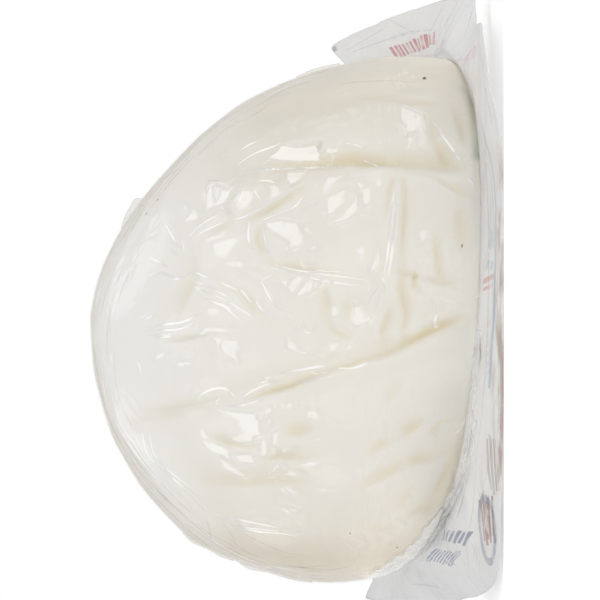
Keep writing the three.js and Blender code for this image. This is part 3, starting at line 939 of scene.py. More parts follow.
def fan(pole, ring, columns, upwards):
    """Triangles between a pole and a ring that starts at an index."""
    faces = []
    for j in range(columns):
        k = (j + 1) % columns
        faces.append([pole, ring + j, ring + k] if upwards else [pole, ring + k, ring + j])
    return faces


def closed_rings(top, rings, bottom):
    """Vertices and faces of a closed body: a top pole, rings going down, and a bottom pole."""
    rows, columns = rings.shape[:2]
    points = np.concatenate([[top], rings.reshape(-1, 3), [bottom]])
    faces = fan(0, 1, columns, True) + ring_faces(rows, columns, 1)
    faces += fan(len(points) - 1, 1 + (rows - 1) * columns, columns, False)
    return points, faces


def thin_shell(top, outer, inner, thickness):
    """A closed thin shell whose inner rings are coarser than its outer ones by a whole number."""
    rows, columns = outer.shape[:2]
    inner_rows, inner_columns = inner.shape[:2]
    step = columns // inner_columns
    pole = top - (0, 0, thickness)
    points = np.concatenate([[top], outer.reshape(-1, 3), inner.reshape(-1, 3), [pole]])
    first_inner = 1 + rows * columns
    faces = fan(0, 1, columns, True) + ring_faces(rows, columns, 1)
    faces += [face[::-1] for face in ring_faces(inner_rows, inner_columns, first_inner)]
    faces += fan(len(points) - 1, first_inner, inner_columns, False)
    last_outer = 1 + (rows - 1) * columns
    last_inner = first_inner + (inner_rows - 1) * inner_columns
    for j in range(inner_columns):
        outer_run = [last_outer + (step * j + i) % columns for i in range(step, -1, -1)]
        faces.append(outer_run + [last_inner + j, last_inner + (j + 1) % inner_columns])
    return points, faces


def face_outwards(piece):
    """Turns all faces of a closed piece outwards."""
    work = bmesh.new()
    work.from_mesh(piece.data)
    bmesh.ops.recalc_face_normals(work, faces=work.faces)
    if work.calc_volume(signed=True) < 0:
        bmesh.ops.reverse_faces(work, faces=work.faces)
    work.to_mesh(piece.data)
    work.free()


def finish_piece(piece, slot, *nodes):
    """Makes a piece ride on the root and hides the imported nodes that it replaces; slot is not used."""
    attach(piece, "root")
    if nodes:
        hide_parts(*nodes)


class NodeMaker:
    """Adds nodes to a tree and joins them, left to right."""

    def __init__(self, tree):
        self.tree = tree
        self.place = 0

    def add(self, kind, inputs=None, **settings):
        node = self.tree.nodes.new(kind)
        node.location = (self.place, 0)
        self.place += 180
        for key, value in settings.items():
            setattr(node, key, value)
        for key, value in (inputs or {}).items():
            self.feed(node.inputs[key], value)
        return node

    def feed(self, socket, value):
        if isinstance(value, bpy.types.NodeSocket):
            self.tree.links.new(value, socket)
        else:
            socket.default_value = value

    def math(self, operation, a, b=0.0, clamp=False):
        node = self.add("ShaderNodeMath", {0: a, 1: b}, operation=operation, use_clamp=clamp)
        return node.outputs[0]

    def times(self, first, *rest):
        for value in rest:
            first = self.math("MULTIPLY", first, value)
        return first

    def vector(self, operation, a, b=(0, 0, 0)):
        node = self.add("ShaderNodeVectorMath", {0: a, 1: b}, operation=operation)
        return node.outputs["Value" if operation in {"DOT_PRODUCT", "LENGTH"} else "Vector"]

    def scaled(self, vector, factor):
        inputs = {0: vector, "Scale": factor}
        return self.add("ShaderNodeVectorMath", inputs, operation="SCALE").outputs[0]

    def mix(self, factor, a, b):
        node = self.add("ShaderNodeMix", data_type="RGBA")
        self.feed(node.inputs["Factor"], factor)
        self.feed(node.inputs[6], a)
        self.feed(node.inputs[7], b)
        return node.outputs[2]

    def ramp(self, value, low, high, kind="LINEAR"):
        inputs = {"Value": value, "From Min": low, "From Max": high}
        node = self.add("ShaderNodeMapRange", inputs, interpolation_type=kind)
        return node.outputs["Result"]

    def fade(self, value, places, kind="LINEAR"):
        """A ramp from 0 at the first of two places in millimetres to 1 at the second."""
        low, high = places
        return self.ramp(value, low * MM, high * MM, kind)

    def noise(self, where, scale, detail, roughness=0.5):
        inputs = {"Vector": where, "Scale": scale, "Detail": detail, "Roughness": roughness}
        return self.add("ShaderNodeTexNoise", inputs).outputs["Fac"]

    def attribute(self, name):
        node = self.add("ShaderNodeAttribute", attribute_name=name, attribute_type="GEOMETRY")
        return node.outputs["Fac"]

    def seen_rays(self):
        """1 for what the camera or a mirroring face sees, 0 for light on its way to other faces."""
        rays = self.add("ShaderNodeLightPath").outputs
        return self.math("MAXIMUM", rays["Is Camera Ray"], rays["Is Glossy Ray"])

    def mixed_shaders(self, share, first, second):
        return self.add("ShaderNodeMixShader", {0: share, 1: first.outputs[0], 2: second.outputs[0]})

    def finish(self, shader):
        self.add("ShaderNodeOutputMaterial", {"Surface": shader.outputs[0]})


def new_material(name):
    """A material without any nodes, and what makes its nodes."""
    material = bpy.data.materials.new(name)
    material.use_nodes = True
    material.node_tree.nodes.clear()
    return material, NodeMaker(material.node_tree)


def new_group(name, inputs, outputs):
    """A node group, what makes its nodes, and its inputs as sockets to use inside it."""
    group = bpy.data.node_groups.new(name, "ShaderNodeTree")
    for way, sockets in (("INPUT", inputs), ("OUTPUT", outputs)):
        for label, kind in sockets:
            group.interface.new_socket(label, in_out=way, socket_type=kind)
    maker = NodeMaker(group)
    return group, maker, maker.add("NodeGroupInput").outputs


def use_group(m, group, **values):
    """The first output of a node group whose inputs are given by name, as in cell_size."""
    node = m.add("ShaderNodeGroup", node_tree=group)
    for key, value in values.items():
        m.feed(node.inputs[key.replace("_", " ").title()], value)
    return node.outputs[0]


def film_crinkle():
    """Fine crinkles of packing film: a height in metres made of creased cells and drawn-out streaks."""
    if "film_crinkle" in bpy.data.node_groups:
        return bpy.data.node_groups["film_crinkle"]
    labels = ("Cell Size", "Cells", "Streaks")
    group, m, source = new_group(
        "film_crinkle",
        [("Vector", "NodeSocketVector"), *((label, "NodeSocketFloat") for label in labels)],
        [("Height", "NodeSocketFloat")],
    )
    warp_reach, flat_top, streak_height = 3 * MM, 0.4, 0.6 * MM
    drawn_out, patch_fade = (0.25, 0.25, 1.6), (0.42, 0.62)
    size = source["Cell Size"]
    warp = m.add("ShaderNodeTexNoise", {"Vector": source["Vector"], "Scale": 130.0, "Detail": 1.0})
    shift = m.vector("MULTIPLY", warp.outputs["Color"], (warp_reach, warp_reach, warp_reach))
    moved = m.vector("ADD", source["Vector"], shift)
    inputs = {"Vector": moved, "Scale": m.math("DIVIDE", 1.0, size)}
    cells = m.add("ShaderNodeTexVoronoi", inputs, feature="DISTANCE_TO_EDGE")
    patches = m.times(m.ramp(m.noise(moved, *CRINKLE_NOISE), *patch_fade), source["Cells"])
    roof = m.times(m.math("MINIMUM", cells.outputs["Distance"], flat_top), size, patches)
    streak = m.noise(m.vector("MULTIPLY", moved, drawn_out), *STREAK_NOISE)
    ridge = m.math("ABSOLUTE", m.math("SUBTRACT", streak, 0.5))
    line = m.times(ridge, streak_height, source["Streaks"])
    m.add("NodeGroupOutput", {"Height": m.math("SUBTRACT", roof, line)})
    return group


def distance_to_line(m, where, start, end):
    """The distance from a place to a straight line between two points."""
    heading = tuple(unit(end - start))
    offset = m.vector("SUBTRACT", where, tuple(start))
    run = m.math("MAXIMUM", m.vector("DOT_PRODUCT", offset, heading), 0.0)
    run = m.math("MINIMUM", run, float(np.linalg.norm(end - start)))
    return m.vector("LENGTH", m.vector("SUBTRACT", offset, m.scaled(heading, run)))


def cheese_colour(m, colours, where, turned):
    """Painted light and shade: whiter towards the crown; creamier and darker in the folds, at the low end
    and where the cheese turns away; and a painted green reflection of the print at its foot.
    """
    fleck_fade, fleck_share, reflection_share, end_share = (0.45, 0.75), 0.12, 0.95, 0.85
    side_fade, edge_fade = (0.2, 0.9), (0.66, 0.96)
    parts = m.add("ShaderNodeSeparateXYZ", {"Vector": where}).outputs
    along, height = parts["X"], parts["Z"]
    slow = m.noise(where, *TOP_LIGHT_NOISE)
    mottle = m.noise(where, *MOTTLE_NOISE)
    # Painted light: whiter towards the crown for the film's sheen and the light from above, creamier lower
    # down
    level = m.math("ADD", height, m.times(slow, TOP_LIGHT_SHIFT * MM))
    low = m.fade(level, TOP_LIGHT_HEIGHTS, "SMOOTHSTEP")
    colour = m.mix(low, (*colours.crown, 1), (*colours.flank, 1))
    # Painted shade in the cheese's hollows and folds
    colour = m.mix(m.attribute("fold_shade"), colour, (*colours.fold_shade, 1))
    colour = m.mix(m.times(m.ramp(mottle, *fleck_fade), fleck_share), colour, (*PALE_FLECKS, 1))
    # Painted reflection of the green print in the cheese's lower edge
    away = distance_to_line(m, where, *(np.array(GREEN_REFLECTION_LINE) * MM))
    away = m.math("ADD", away, m.times(mottle, GREEN_REFLECTION_UNEVENNESS * MM))
    painted_tint = m.times(m.fade(away, GREEN_REFLECTION_REACH, "SMOOTHSTEP"), reflection_share)
    colour = m.mix(painted_tint, colour, (*GREEN_REFLECTION, 1))
    # Painted shade where the cheese turns away and at its low end
    side = m.times(m.ramp(turned, *side_fade), m.fade(height, SHADE_HEIGHTS))
    edge = m.math("MAXIMUM", side, m.ramp(turned, *edge_fade))
    shaded_low_end = m.times(m.fade(along, SHADE_END), end_share)
    return m.mix(m.math("ADD", edge, shaded_low_end, clamp=True), colour, (*colours.rim, 1))


def painted_foot_glow(m, where, turned):
    """Painted light: how much the cheese glows at its shaded foot and low outline, standing in for light
    passed on inside it.
    """
    parts = m.add("ShaderNodeSeparateXYZ", {"Vector": where}).outputs
    along, height = parts["X"], parts["Z"]
    foot_fade, outline_fade = (0.15, 0.85), (0.7, 1.0)
    foot_share, end_share, outline_share = 0.06, 0.2, 0.2
    foot = m.times(m.fade(height, FOOT_HEIGHTS), m.ramp(turned, *foot_fade))
    share = m.math("ADD", m.times(m.fade(along, FOOT_END), end_share), foot_share)
    outline = m.times(m.fade(height, OUTLINE_HEIGHTS), m.ramp(turned, *outline_fade))
    return m.math("ADD", m.times(foot, share), m.times(outline, outline_share))


def make_cheese_material(colours):
    """Soft wet cheese that light sinks into a little, with painted light and shade in its colour and a
    painted glow at its foot.
    """
    material, m = new_material("cheese")
    where = m.add("ShaderNodeTexCoord").outputs["Object"]
    turned = m.add("ShaderNodeLayerWeight", {"Blend": 0.5}).outputs["Facing"]
    colour = cheese_colour(m, colours, where, turned)
    fibre = m.noise(m.vector("MULTIPLY", where, (1, 1, 0.35)), *FIBRE_NOISE)
    bump = m.add("ShaderNodeBump", {"Height": fibre, "Strength": 0.2, "Distance": 0.2 * MM})
    # Painted light: the glow at the foot and the low outline
    painted_glow = m.mix(painted_foot_glow(m, where, turned), (0, 0, 0, 1), colour)
    shader = m.add(
        "ShaderNodeBsdfPrincipled",
        {"Base Color": colour, "Roughness": 0.42, "Normal": bump.outputs[0], "Subsurface Weight": 0.3,
         "Emission Color": painted_glow, "Emission Strength": 1.0,
         "Subsurface Radius": (1.0, 0.8, 0.55), "Subsurface Scale": 3 * MM, "Specular IOR Level": 0.2},
    )
    m.finish(shader)
    return material


def make_film_material(name, base, extra, crinkle, most):
    """Clear film: light passes straight through it, and its outer face mirrors the surround.

    base is the strength of its mirroring, extra what gloss adds to that, and most the share that it
    mirrors at most.
    """
    material, m = new_material(name)
    where = m.add("ShaderNodeTexCoord").outputs["Object"]
    inputs = {"vector": where, "cell_size": CLEAR_CRINKLE * MM, "cells": crinkle, "streaks": crinkle}
    height = use_group(m, film_crinkle(), **inputs)
    bump = m.add("ShaderNodeBump", {"Height": height, "Strength": 1.0, "Distance": 1.0})
    gloss = m.times(m.attribute("gloss"), m.ramp(m.noise(where, *GLOSS_NOISE), 0.15, 0.4))
    strength = m.math("ADD", base, m.times(gloss, extra))
    fresnel = m.add("ShaderNodeFresnel", {"IOR": 1.5}).outputs[0]
    outer = m.math("SUBTRACT", 1.0, m.add("ShaderNodeNewGeometry").outputs["Backfacing"])
    mirror = m.math("MINIMUM", m.times(fresnel, strength), most)
    clear = m.add("ShaderNodeBsdfTransparent", {"Color": (1, 1, 1, 1)})
    inputs = {"Base Color": (0.97, 0.97, 0.97, 1), "Metallic": 1.0, "Roughness": 0.1}
    shine = m.add("ShaderNodeBsdfPrincipled", {**inputs, "Normal": bump.outputs[0]})
    m.finish(m.mixed_shaders(m.times(mirror, outer, m.seen_rays()), clear, shine))
    return material


def make_doubled_material(name, colour, cover):
    """Film that lies double or loose, and veils what is behind it without shading it; in a dark colour it
    makes strips of painted shade.
    """
    material, m = new_material(name)
    clear = m.add("ShaderNodeBsdfTransparent", {"Color": (1, 1, 1, 1)})
    inputs = {"Base Color": (*colour, 1), "Roughness": 0.15, "Coat Weight": 1.0, "Coat Roughness": 0.05}
    veil = m.add("ShaderNodeBsdfPrincipled", inputs)
    m.finish(m.mixed_shaders(m.times(m.seen_rays(), cover), clear, veil))
    return material


def bar_row():
    """A row of short slanted bars of uneven height and width, as a mask."""
    if "bar_row" in bpy.data.node_groups:
        return bpy.data.node_groups["bar_row"]
    labels = ("Turn", "Length", "Height", "Spacing", "Slant")
    group, m, source = new_group(
        "bar_row",
        [("Vector", "NodeSocketVector"), ("Middle", "NodeSocketVector"),
         *((label, "NodeSocketFloat") for label in labels)],
        [("Mask", "NodeSocketFloat")],
    )
    offset = m.vector("SUBTRACT", source["Vector"], source["Middle"])
    inputs = {"Vector": offset, "Angle": source["Turn"]}
    turned = m.add("ShaderNodeVectorRotate", inputs, rotation_type="Z_AXIS").outputs[0]
    parts = m.add("ShaderNodeSeparateXYZ", {"Vector": turned}).outputs
    along = m.math("ADD", parts["X"], m.times(parts["Y"], source["Slant"]))
    step = m.math("DIVIDE", along, source["Spacing"])
    inputs = {"W": m.math("FLOOR", step)}
    chance = m.add("ShaderNodeTexWhiteNoise", inputs, noise_dimensions="1D").outputs["Value"]
    least_reach, more_reach, least_share, more_share = 0.35, 0.15, 0.5, 0.3
    reach = m.times(source["Height"], m.math("ADD", least_reach, m.times(chance, more_reach)))
    share = m.math("ADD", least_share, m.times(chance, more_share))
    bar = m.math("LESS_THAN", m.math("FRACT", step), share)
    within = m.math("LESS_THAN", m.math("ABSOLUTE", along), m.times(source["Length"], 0.5))
    high = m.math("LESS_THAN", m.math("ABSOLUTE", parts["Y"]), reach)
    m.add("NodeGroupOutput", {"Mask": m.times(bar, within, high)})
    return group


def speckled_edge(m, flat, x, y):
    """A mask of the speckles along the edge that lies on the table."""
    aside = m.math("ABSOLUTE", m.math("SUBTRACT", x, SPECKLED_MIDDLE * MM))
    across = m.math("ADD", y, m.times(aside, SPECKLED_SLOPE))
    edge = m.fade(across, SPECKLED_ACROSS)
    blotch = m.noise(m.vector("MULTIPLY", flat, (0.4, 1.5, 1)), *SPECKLE_NOISE)
    end, full = SPECKLED_ENDS
    ends = m.times(m.fade(x, (end, full)), m.fade(x, (-end, -full)))
    return m.times(edge, m.ramp(blotch, 0.42, 0.6), ends)


def border_line(m, x, y):
    """A mask of the thin printed line, straight in its middle and bent at both ends."""
    middle_x, middle_y = (place * MM for place in BORDER_MIDDLE)
    bend = 0.0
    for start, way, slope in BORDER_BENDS:
        past = m.math("MAXIMUM", m.times(m.math("SUBTRACT", x, start * MM), way), 0.0)
        bend = m.math("ADD", bend, m.times(past, slope))
    away = m.math("ABSOLUTE", m.math("SUBTRACT", m.math("SUBTRACT", y, middle_y), bend))
    aside = m.math("ABSOLUTE", m.math("SUBTRACT", x, middle_x))
    thin = m.math("LESS_THAN", away, BORDER_HALF_WIDTH * MM)
    return m.times(thin, m.math("LESS_THAN", aside, BORDER_HALF_LENGTH * MM))


def printed_colour(m, where, plain):
    """The film's colour with its print: a speckled edge, a border line, rows of bars, and rings."""
    flat = m.vector("MULTIPLY", where, (1, 1, 0))
    parts = m.add("ShaderNodeSeparateXYZ", {"Vector": where}).outputs
    x, y = parts["X"], parts["Y"]
    worn_fade, speckle_cover, border_cover = (0.25, 0.5), 0.7, 0.6
    worn = m.ramp(m.noise(flat, *WORN_NOISE), *worn_fade)
    colour = m.mix(m.times(speckled_edge(m, flat, x, y), speckle_cover), plain, (*SPECKLE_BROWN, 1))
    colour = m.mix(m.times(border_line(m, x, y), border_cover), colour, (*BLUE, 1))
    for middle, turn, length, height, spacing, slant, ink, cover in PRINT_BARS:
        mask = use_group(
            m, bar_row(), vector=flat, middle=(middle[0] * MM, middle[1] * MM, 0), turn=-math.radians(turn),
            length=length * MM, height=height * MM, spacing=spacing * MM, slant=slant)
        colour = m.mix(m.times(mask, worn, cover), colour, (*ink, 1))
    for middle, radius, width, ink, cover in PRINT_RINGS:
        away = m.vector("LENGTH", m.vector("SUBTRACT", flat, (middle[0] * MM, middle[1] * MM, 0)))
        away = m.math("ABSOLUTE", m.math("SUBTRACT", away, radius * MM))
        mask = m.math("LESS_THAN", away, width / 2 * MM)
        colour = m.mix(m.times(mask, worn, cover), colour, (*ink, 1))
    return colour


def make_printed_material(colours):
    """Milky satin film, greyer in places, with its print."""
    material, m = new_material("printed_film")
    where = m.add("ShaderNodeTexCoord").outputs["Object"]
    along = m.add("ShaderNodeSeparateXYZ", {"Vector": where}).outputs["X"]
    cloud_fade, cloud_share, grey_share = (0.4, 0.65), 0.35, 0.5
    clouds = m.times(m.ramp(m.noise(where, *CLOUD_NOISE), *cloud_fade), cloud_share)
    shade = m.math("ADD", clouds, m.times(m.fade(along, GREY_END), grey_share))
    plain = m.mix(shade, (*colours.film, 1), (*GREY_FILM, 1))
    inputs = {"vector": where, "cell_size": PRINTED_CRINKLE * MM, "cells": 0.2, "streaks": 0.15}
    height = use_group(m, film_crinkle(), **inputs)
    bump = m.add("ShaderNodeBump", {"Height": height, "Strength": 0.6, "Distance": 1.0})
    shader = m.add(
        "ShaderNodeBsdfPrincipled",
        {"Base Color": printed_colour(m, where, plain), "Roughness": 0.35, "Normal": bump.outputs[0],
         "Coat Weight": 0.4, "Coat Roughness": 0.12, "Alpha": 0.8},
    )
    m.finish(shader)
    return material


def size_property(name, description, size):
    """A length whose default is given in millimetres."""
    return bpy.props.FloatProperty(
        name=name, description=description, default=size * MM, unit="LENGTH", precision=5)


def colour_property(name, description, default):
    """A colour as red, green and blue shares."""
    return bpy.props.FloatVectorProperty(
        name=name, description=description, subtype="COLOR", size=3, default=default, min=0, max=1)


class PackSizes(bpy.types.PropertyGroup):
    """Sizes that a user of the pack would change."""

    film_thickness: size_property("Clear film thickness", "Thickness of the clear film", 0.08)
    film_gap: size_property("Film gap", "Least space between the cheese and the clear film", 0.2)
    printed_thickness: size_property("Printed film thickness", "Thickness of the printed film", 0.2)


class PackColours(bpy.types.PropertyGroup):
    """Colours that a user of the pack would change."""

    # Crown and flank carry painted light: whiter where the film shines and light falls from above, creamier
    # lower down
    crown: colour_property("Crown", "Colour of the cheese near its crown", (0.945, 0.926, 0.882))
    flank: colour_property("Flank", "Colour of the cheese near its foot", (0.868, 0.838, 0.766))
    # Painted shade: the creamier, darker colour in the folds
    fold_shade: colour_property("Folds", "Colour of the cheese in its folds", (0.78, 0.69, 0.47))
    # Painted shade where the cheese turns away
    rim: colour_property("Rim", "Colour of the cheese where it turns away", (0.70, 0.63, 0.50))
    film: colour_property("Printed film", "Colour of the printed film's inner face", (0.96, 0.955, 0.945))


class MOZZARELLA_OT_stage(bpy.types.Operator):
    """Make the floor, the soft light and the camera"""

    bl_idname = "mozzarella.stage"
    bl_label = "Stage"

    def execute(self, context):
        context.scene.view_settings.view_transform = "Standard"
        make_floor()
        make_surround(context.scene)
        make_camera(context.scene)
        return {"FINISHED"}


def make_floor():
    """A pale round floor, just under the pack, that fades out before its edge."""
    radii, columns, drop = np.linspace(40, 600, 15), 96, 0.05
    faded = (160, 560)
    turn = np.arange(columns) / columns * TAU
    rings = np.stack([polar(radius, turn, np.zeros(columns)) for radius in radii])
    points = np.concatenate([[(0, 0, 0)], rings.reshape(-1, 3)]) - (0, 0, drop)
    faces = fan(0, 1, columns, True) + ring_faces(len(rings), columns, 1)
    material, m = new_material("floor")
    away = m.vector("LENGTH", m.add("ShaderNodeTexCoord").outputs["Object"])
    inputs = {"Base Color": (0.9, 0.9, 0.9, 1), "Roughness": 1.0, "Specular IOR Level": 0.0,
              "Emission Color": (1, 1, 1, 1), "Emission Strength": 0.3}
    solid = m.add("ShaderNodeBsdfPrincipled", inputs)
    clear = m.add("ShaderNodeBsdfTransparent")
    m.finish(m.mixed_shaders(m.fade(away, faded), solid, clear))
    mesh_object("floor", points, faces, material)


def make_surround(scene):
    """A white background; what lights the pack is an even grey tent with brighter soft panels."""
    world = bpy.data.worlds.new("surround")
    world.use_nodes = True
    world.node_tree.nodes.clear()
    m = NodeMaker(world.node_tree)
    heading = m.add("ShaderNodeTexCoord").outputs["Generated"]
    bright = 0.0
    edge, core = (math.cos(math.radians(angle)) for angle in (PANEL_EDGE, PANEL_CORE))
    for panel in BRIGHT_PANELS:
        aim = m.vector("DOT_PRODUCT", heading, tuple(panel_direction(*panel)))
        bright = m.math("MAXIMUM", bright, m.ramp(aim, edge, core, "SMOOTHSTEP"))
    level = m.math("ADD", m.times(bright, BRIGHT_LEVEL - DIM_LEVEL), DIM_LEVEL)
    lit = m.add("ShaderNodeBackground", {"Color": (1, 1, 1, 1), "Strength": level})
    plain = m.add("ShaderNodeBackground", {"Color": (1, 1, 1, 1), "Strength": 1.0})
    straight = m.add("ShaderNodeLightPath").outputs["Is Camera Ray"]
    shader = m.mixed_shaders(straight, lit, plain)
    m.add("ShaderNodeOutputWorld", {"Surface": shader.outputs[0]})
    scene.world = world


def make_camera(scene):
    """A level camera that looks along +Y and is rolled, so that +X is up and +Z is to the left."""
    data = bpy.data.cameras.new("camera")
    data.sensor_width = SENSOR_MM
    data.lens = FOCAL_PIXELS / PICTURE_PIXELS * SENSOR_MM
    data.clip_start = 0.05
    data.clip_end = 20
    camera = bpy.data.objects.new("camera", data)
    place = (CAMERA_ALONG * MM, -CAMERA_DISTANCE * MM, CAMERA_HEIGHT * MM)
    right, up, back = (0, 0, -1), (1, 0, 0), (0, -1, 0)
    rows = [(right[i], up[i], back[i], place[i]) for i in range(3)]
    camera.matrix_world = Matrix([*rows, (0, 0, 0, 1)])
    scene.collection.objects.link(camera)
    scene.camera = camera


def cheese_body(gap, lift):
    """Points and faces of the cheese, with the painted shade of its hollows and folds at each point, from 0
    to 1.
    """
    rows, columns, floor_rows, front_share = 176, 460, 20, 3.2
    foot_height, floor_share = 0.3, 0.985
    foot_fade, shade_fade = (1.75, 0.2), (34, 16)
    hollow_shade, broad_fold_shade, low_share = 1.6, 0.15, 0.5
    angle, t = np.meshgrid(ring_angles(columns, front_share), dome_steps(rows))
    seal = around(SEAL_RADIUS, angle)
    uneven = FOOT_UNEVENNESS * (1 + np.sin(7 * angle + 1) * np.sin(16 * angle))
    foot_radius = seal - around(WEB_WIDTH, angle) - uneven
    bed = underside(angle, foot_radius / seal)[..., 2] + lift
    base = dome(angle, t, foot_radius, bed + foot_height)
    normal = grid_normals(base)
    fade = 1 - smooth(t, *foot_fade)
    rise = cheese_height(base, normal, gap) * fade - gap * (1 - fade)
    surface = base + normal * rise[..., None]
    angle_low, share = np.meshgrid(angle[0], np.linspace(1, 0, floor_rows + 1)[:-1])
    floor = underside(angle_low, share * (foot_radius / seal)[0] * floor_share)
    floor[..., 2] += lift
    top = (0, 0, surface[0, :, 2].mean())
    points, faces = closed_rings(top, np.concatenate([surface, floor]), (0, 0, lift))
    # Painted shade in the hollows and folds, weaker higher up
    folds = np.clip(hollows(base) * hollow_shade - broad_folds(base) * broad_fold_shade, 0, 1)
    painted_tint = np.zeros(len(points))
    painted_tint[1 : 1 + folds.size] = (folds * (1 - low_share * smooth(base[..., 2], *shade_fade))).ravel()
    return points, faces, painted_tint


class MOZZARELLA_OT_cheese(bpy.types.Operator):
    """Make the ball of cheese"""

    bl_idname = "mozzarella.cheese"
    bl_label = "Cheese"

    def execute(self, context):
        sizes = context.scene.pack_sizes
        lift = sizes.printed_thickness / MM + CHEESE_BED_GAP
        points, faces, painted_tint = cheese_body(sizes.film_gap / MM, lift)
        piece = mesh_object("cheese", points, faces, make_cheese_material(context.scene.pack_colours))
        add_values(piece, "fold_shade", painted_tint)
        finish_piece(piece, "cheese", "sealed_ball")
        return {"FINISHED"}


def film_shell(thickness, lift):
    """Points and faces of the clear film, a thin closed shell, and the gloss of each point."""
    rows, columns, front_share, step = 168, 500, 4.0, 4
    near, seal_fade, seal_shine = (-2, 0, 2), (1.8, 0.18), (1.88, 0.06)
    angle, t = np.meshgrid(ring_angles(columns, front_share), dome_steps(rows))
    base = dome(angle, t, around(SEAL_RADIUS, angle), around(SEAL_HEIGHT, angle) + lift)
    normal = grid_normals(base)
    fade = 1 - smooth(t, *seal_fade)
    height, gloss = film_height(base, normal)
    height *= fade
    lowest = np.min([np.roll(height, (i, j), (0, 1)) for i in near for j in near], 0)
    lowest[:3] = height.min()
    shares = np.array([0.25, 0.5, 0.75, 1])
    band = underside(*np.meshgrid(angle[0], 1 + SEAL_BAND * shares))
    band[..., 2] += lift + thickness
    outer = np.concatenate([base + normal * height[..., None], band])
    inner = base + normal * (lowest - thickness)[..., None]
    inner = np.concatenate([inner, band - (0, 0, thickness)])
    kept = [*range(0, rows, step), rows, rows + len(shares) - 1]
    top = np.array((0, 0, outer[0, :, 2].mean()))
    points, faces = thin_shell(top, outer, inner[kept][:, ::step], thickness)
    jagged = smooth(t, *seal_shine) * np.clip(0.5 + 0.7 * waves(base, *SEAL_SHINE_WAVES), 0, 1)
    shine = np.zeros(len(points))
    shine[1 : 1 + gloss.size] = np.maximum(gloss * fade, jagged).ravel()
    return points, faces, shine


class MOZZARELLA_OT_clear_film(bpy.types.Operator):
    """Make the clear film over the ball, down to its seal"""

    bl_idname = "mozzarella.clear_film"
    bl_label = "Clear film"

    def execute(self, context):
        sizes = context.scene.pack_sizes
        lift = sizes.printed_thickness / MM + SEAL_GAP
        points, faces, shine = film_shell(sizes.film_thickness / MM, lift)
        material = make_film_material("clear_film", base=1.1, extra=5.0, crinkle=0.08, most=0.38)
        piece = mesh_object("clear_film", points, faces, material)
        add_values(piece, "gloss", shine)
        finish_piece(piece, "clear_film", "sealed_ball")
        return {"FINISHED"}


def rim_streaks():
    """Fine streaks that follow the ball's outline: sharp crests, and dark creases of painted shade, as lists
    of paths.
    """
    foot_radius, foot_height, ball_radius, least_width, most_width = 40, 3, 40, 0.05, 0.1
    profile_points, spill, least_length, most_length = 60, 0.1, 0.08, 0.24
    t = np.linspace(0, 1, profile_points)
    sides = [dome(np.full_like(t, a), t, foot_radius, foot_height) for a in (0, math.pi)]
    outline = np.concatenate([sides[0][::-1], sides[1][1:]])[:, (0, 2)]
    along = np.linspace(1, -1, len(outline))
    rng = np.random.default_rng(OUTLINE_SEED)
    crests, dark = [], []
    for low, high, deepest, bright_count, dark_count in RIM_STREAKS:
        for number in range(bright_count + dark_count):
            place, reach = number * PLACE_STEP % 1, number * REACH_STEP % 1
            start, length = low + (high - low) * place, rng.uniform(least_length, most_length)
            w = np.linspace(start, max(low - spill, start - length), STREAK_POINTS)
            turn = np.linspace(0, rng.uniform(2, 5), STREAK_POINTS) + rng.uniform(0, TAU)
            scale = 1 - STREAK_REACH - (deepest - STREAK_REACH) * reach
            x, z = (np.interp(-w, -along, outline[:, i]) for i in range(2))
            depth = STREAK_SWAY * np.sin(turn) - ball_radius * math.sqrt(1 - scale**2)
            path = np.stack([x * scale, depth, (z - CENTRE_HEIGHT) * scale + CENTRE_HEIGHT], -1)
            kind = crests if number < bright_count else dark
            widening = 1 if kind is crests else DARK_WIDENING
            kind.append((rng.uniform(least_width, most_width) * widening, path))
    return crests, dark


def surface_tree(name):
    """The faces of a piece, made ready for rays to be cast at them."""
    return BVHTree.FromObject(bpy.data.objects[name], bpy.context.evaluated_depsgraph_get())


def laid_on_film(paths, films, mirrored):
    """Lays paths on the films, flat ones as seen from the front, and their mirror images if wanted."""
    spacing, longest_gap, least_points = 0.4, 2 * MM, 4
    widening, blunt_end, unevenness = 1.3, 0.12, 0.25
    trees = [surface_tree(name) for name in films]
    rng = np.random.default_rng(STRIP_SEED)
    strips = []
    for half, path in paths:
        line = smooth_path(path, spacing)
        t = np.linspace(0, 1, len(line))
        wobble = 1 + unevenness * np.sin(t * rng.uniform(4, 12) + rng.uniform(0, TAU))
        width = widening * half * np.maximum(blunt_end, np.sin(math.pi * t) ** 0.5) * wobble
        for far in (False, True)[: 1 + mirrored]:
            if line.shape[1] == 3:
                hits = [cast_inwards(trees, point * (1, -1 if far else 1, 1)) for point in line]
            else:
                hits = [kept_if_facing(cast_ray(trees, x, z, far)) for x, z in line]
            run = []
            for hit, size in [*zip(hits, width), (None, 0)]:
                if hit is not None and (not run or (hit[0] - run[-1][0]).length < longest_gap):
                    run.append((*hit, size))
                else:
                    if len(run) >= least_points:
                        strips.append(evened(run))
                    run = []
    return strips


def evened(run):
    """A run of points on the film with its places and normals evened out, normals towards a panel."""
    reach, passes = 2, 3
    place, normal, size = (np.array([np.ravel(point[i]) for point in run]) for i in range(3))
    share = np.hanning(2 * reach + 3)[1:-1]
    share /= share.sum()
    for _ in range(passes):
        for values in (place, normal):
            for axis in range(3):
                padded = np.pad(values[:, axis], reach, mode="reflect", reflect_type="odd")
                values[:, axis] = np.convolve(padded, share, "valid")
    normal = [limited_lean(unit(n), CREST_LEAN) for n in normal]
    return list(zip(place, normal, size[:, 0]))


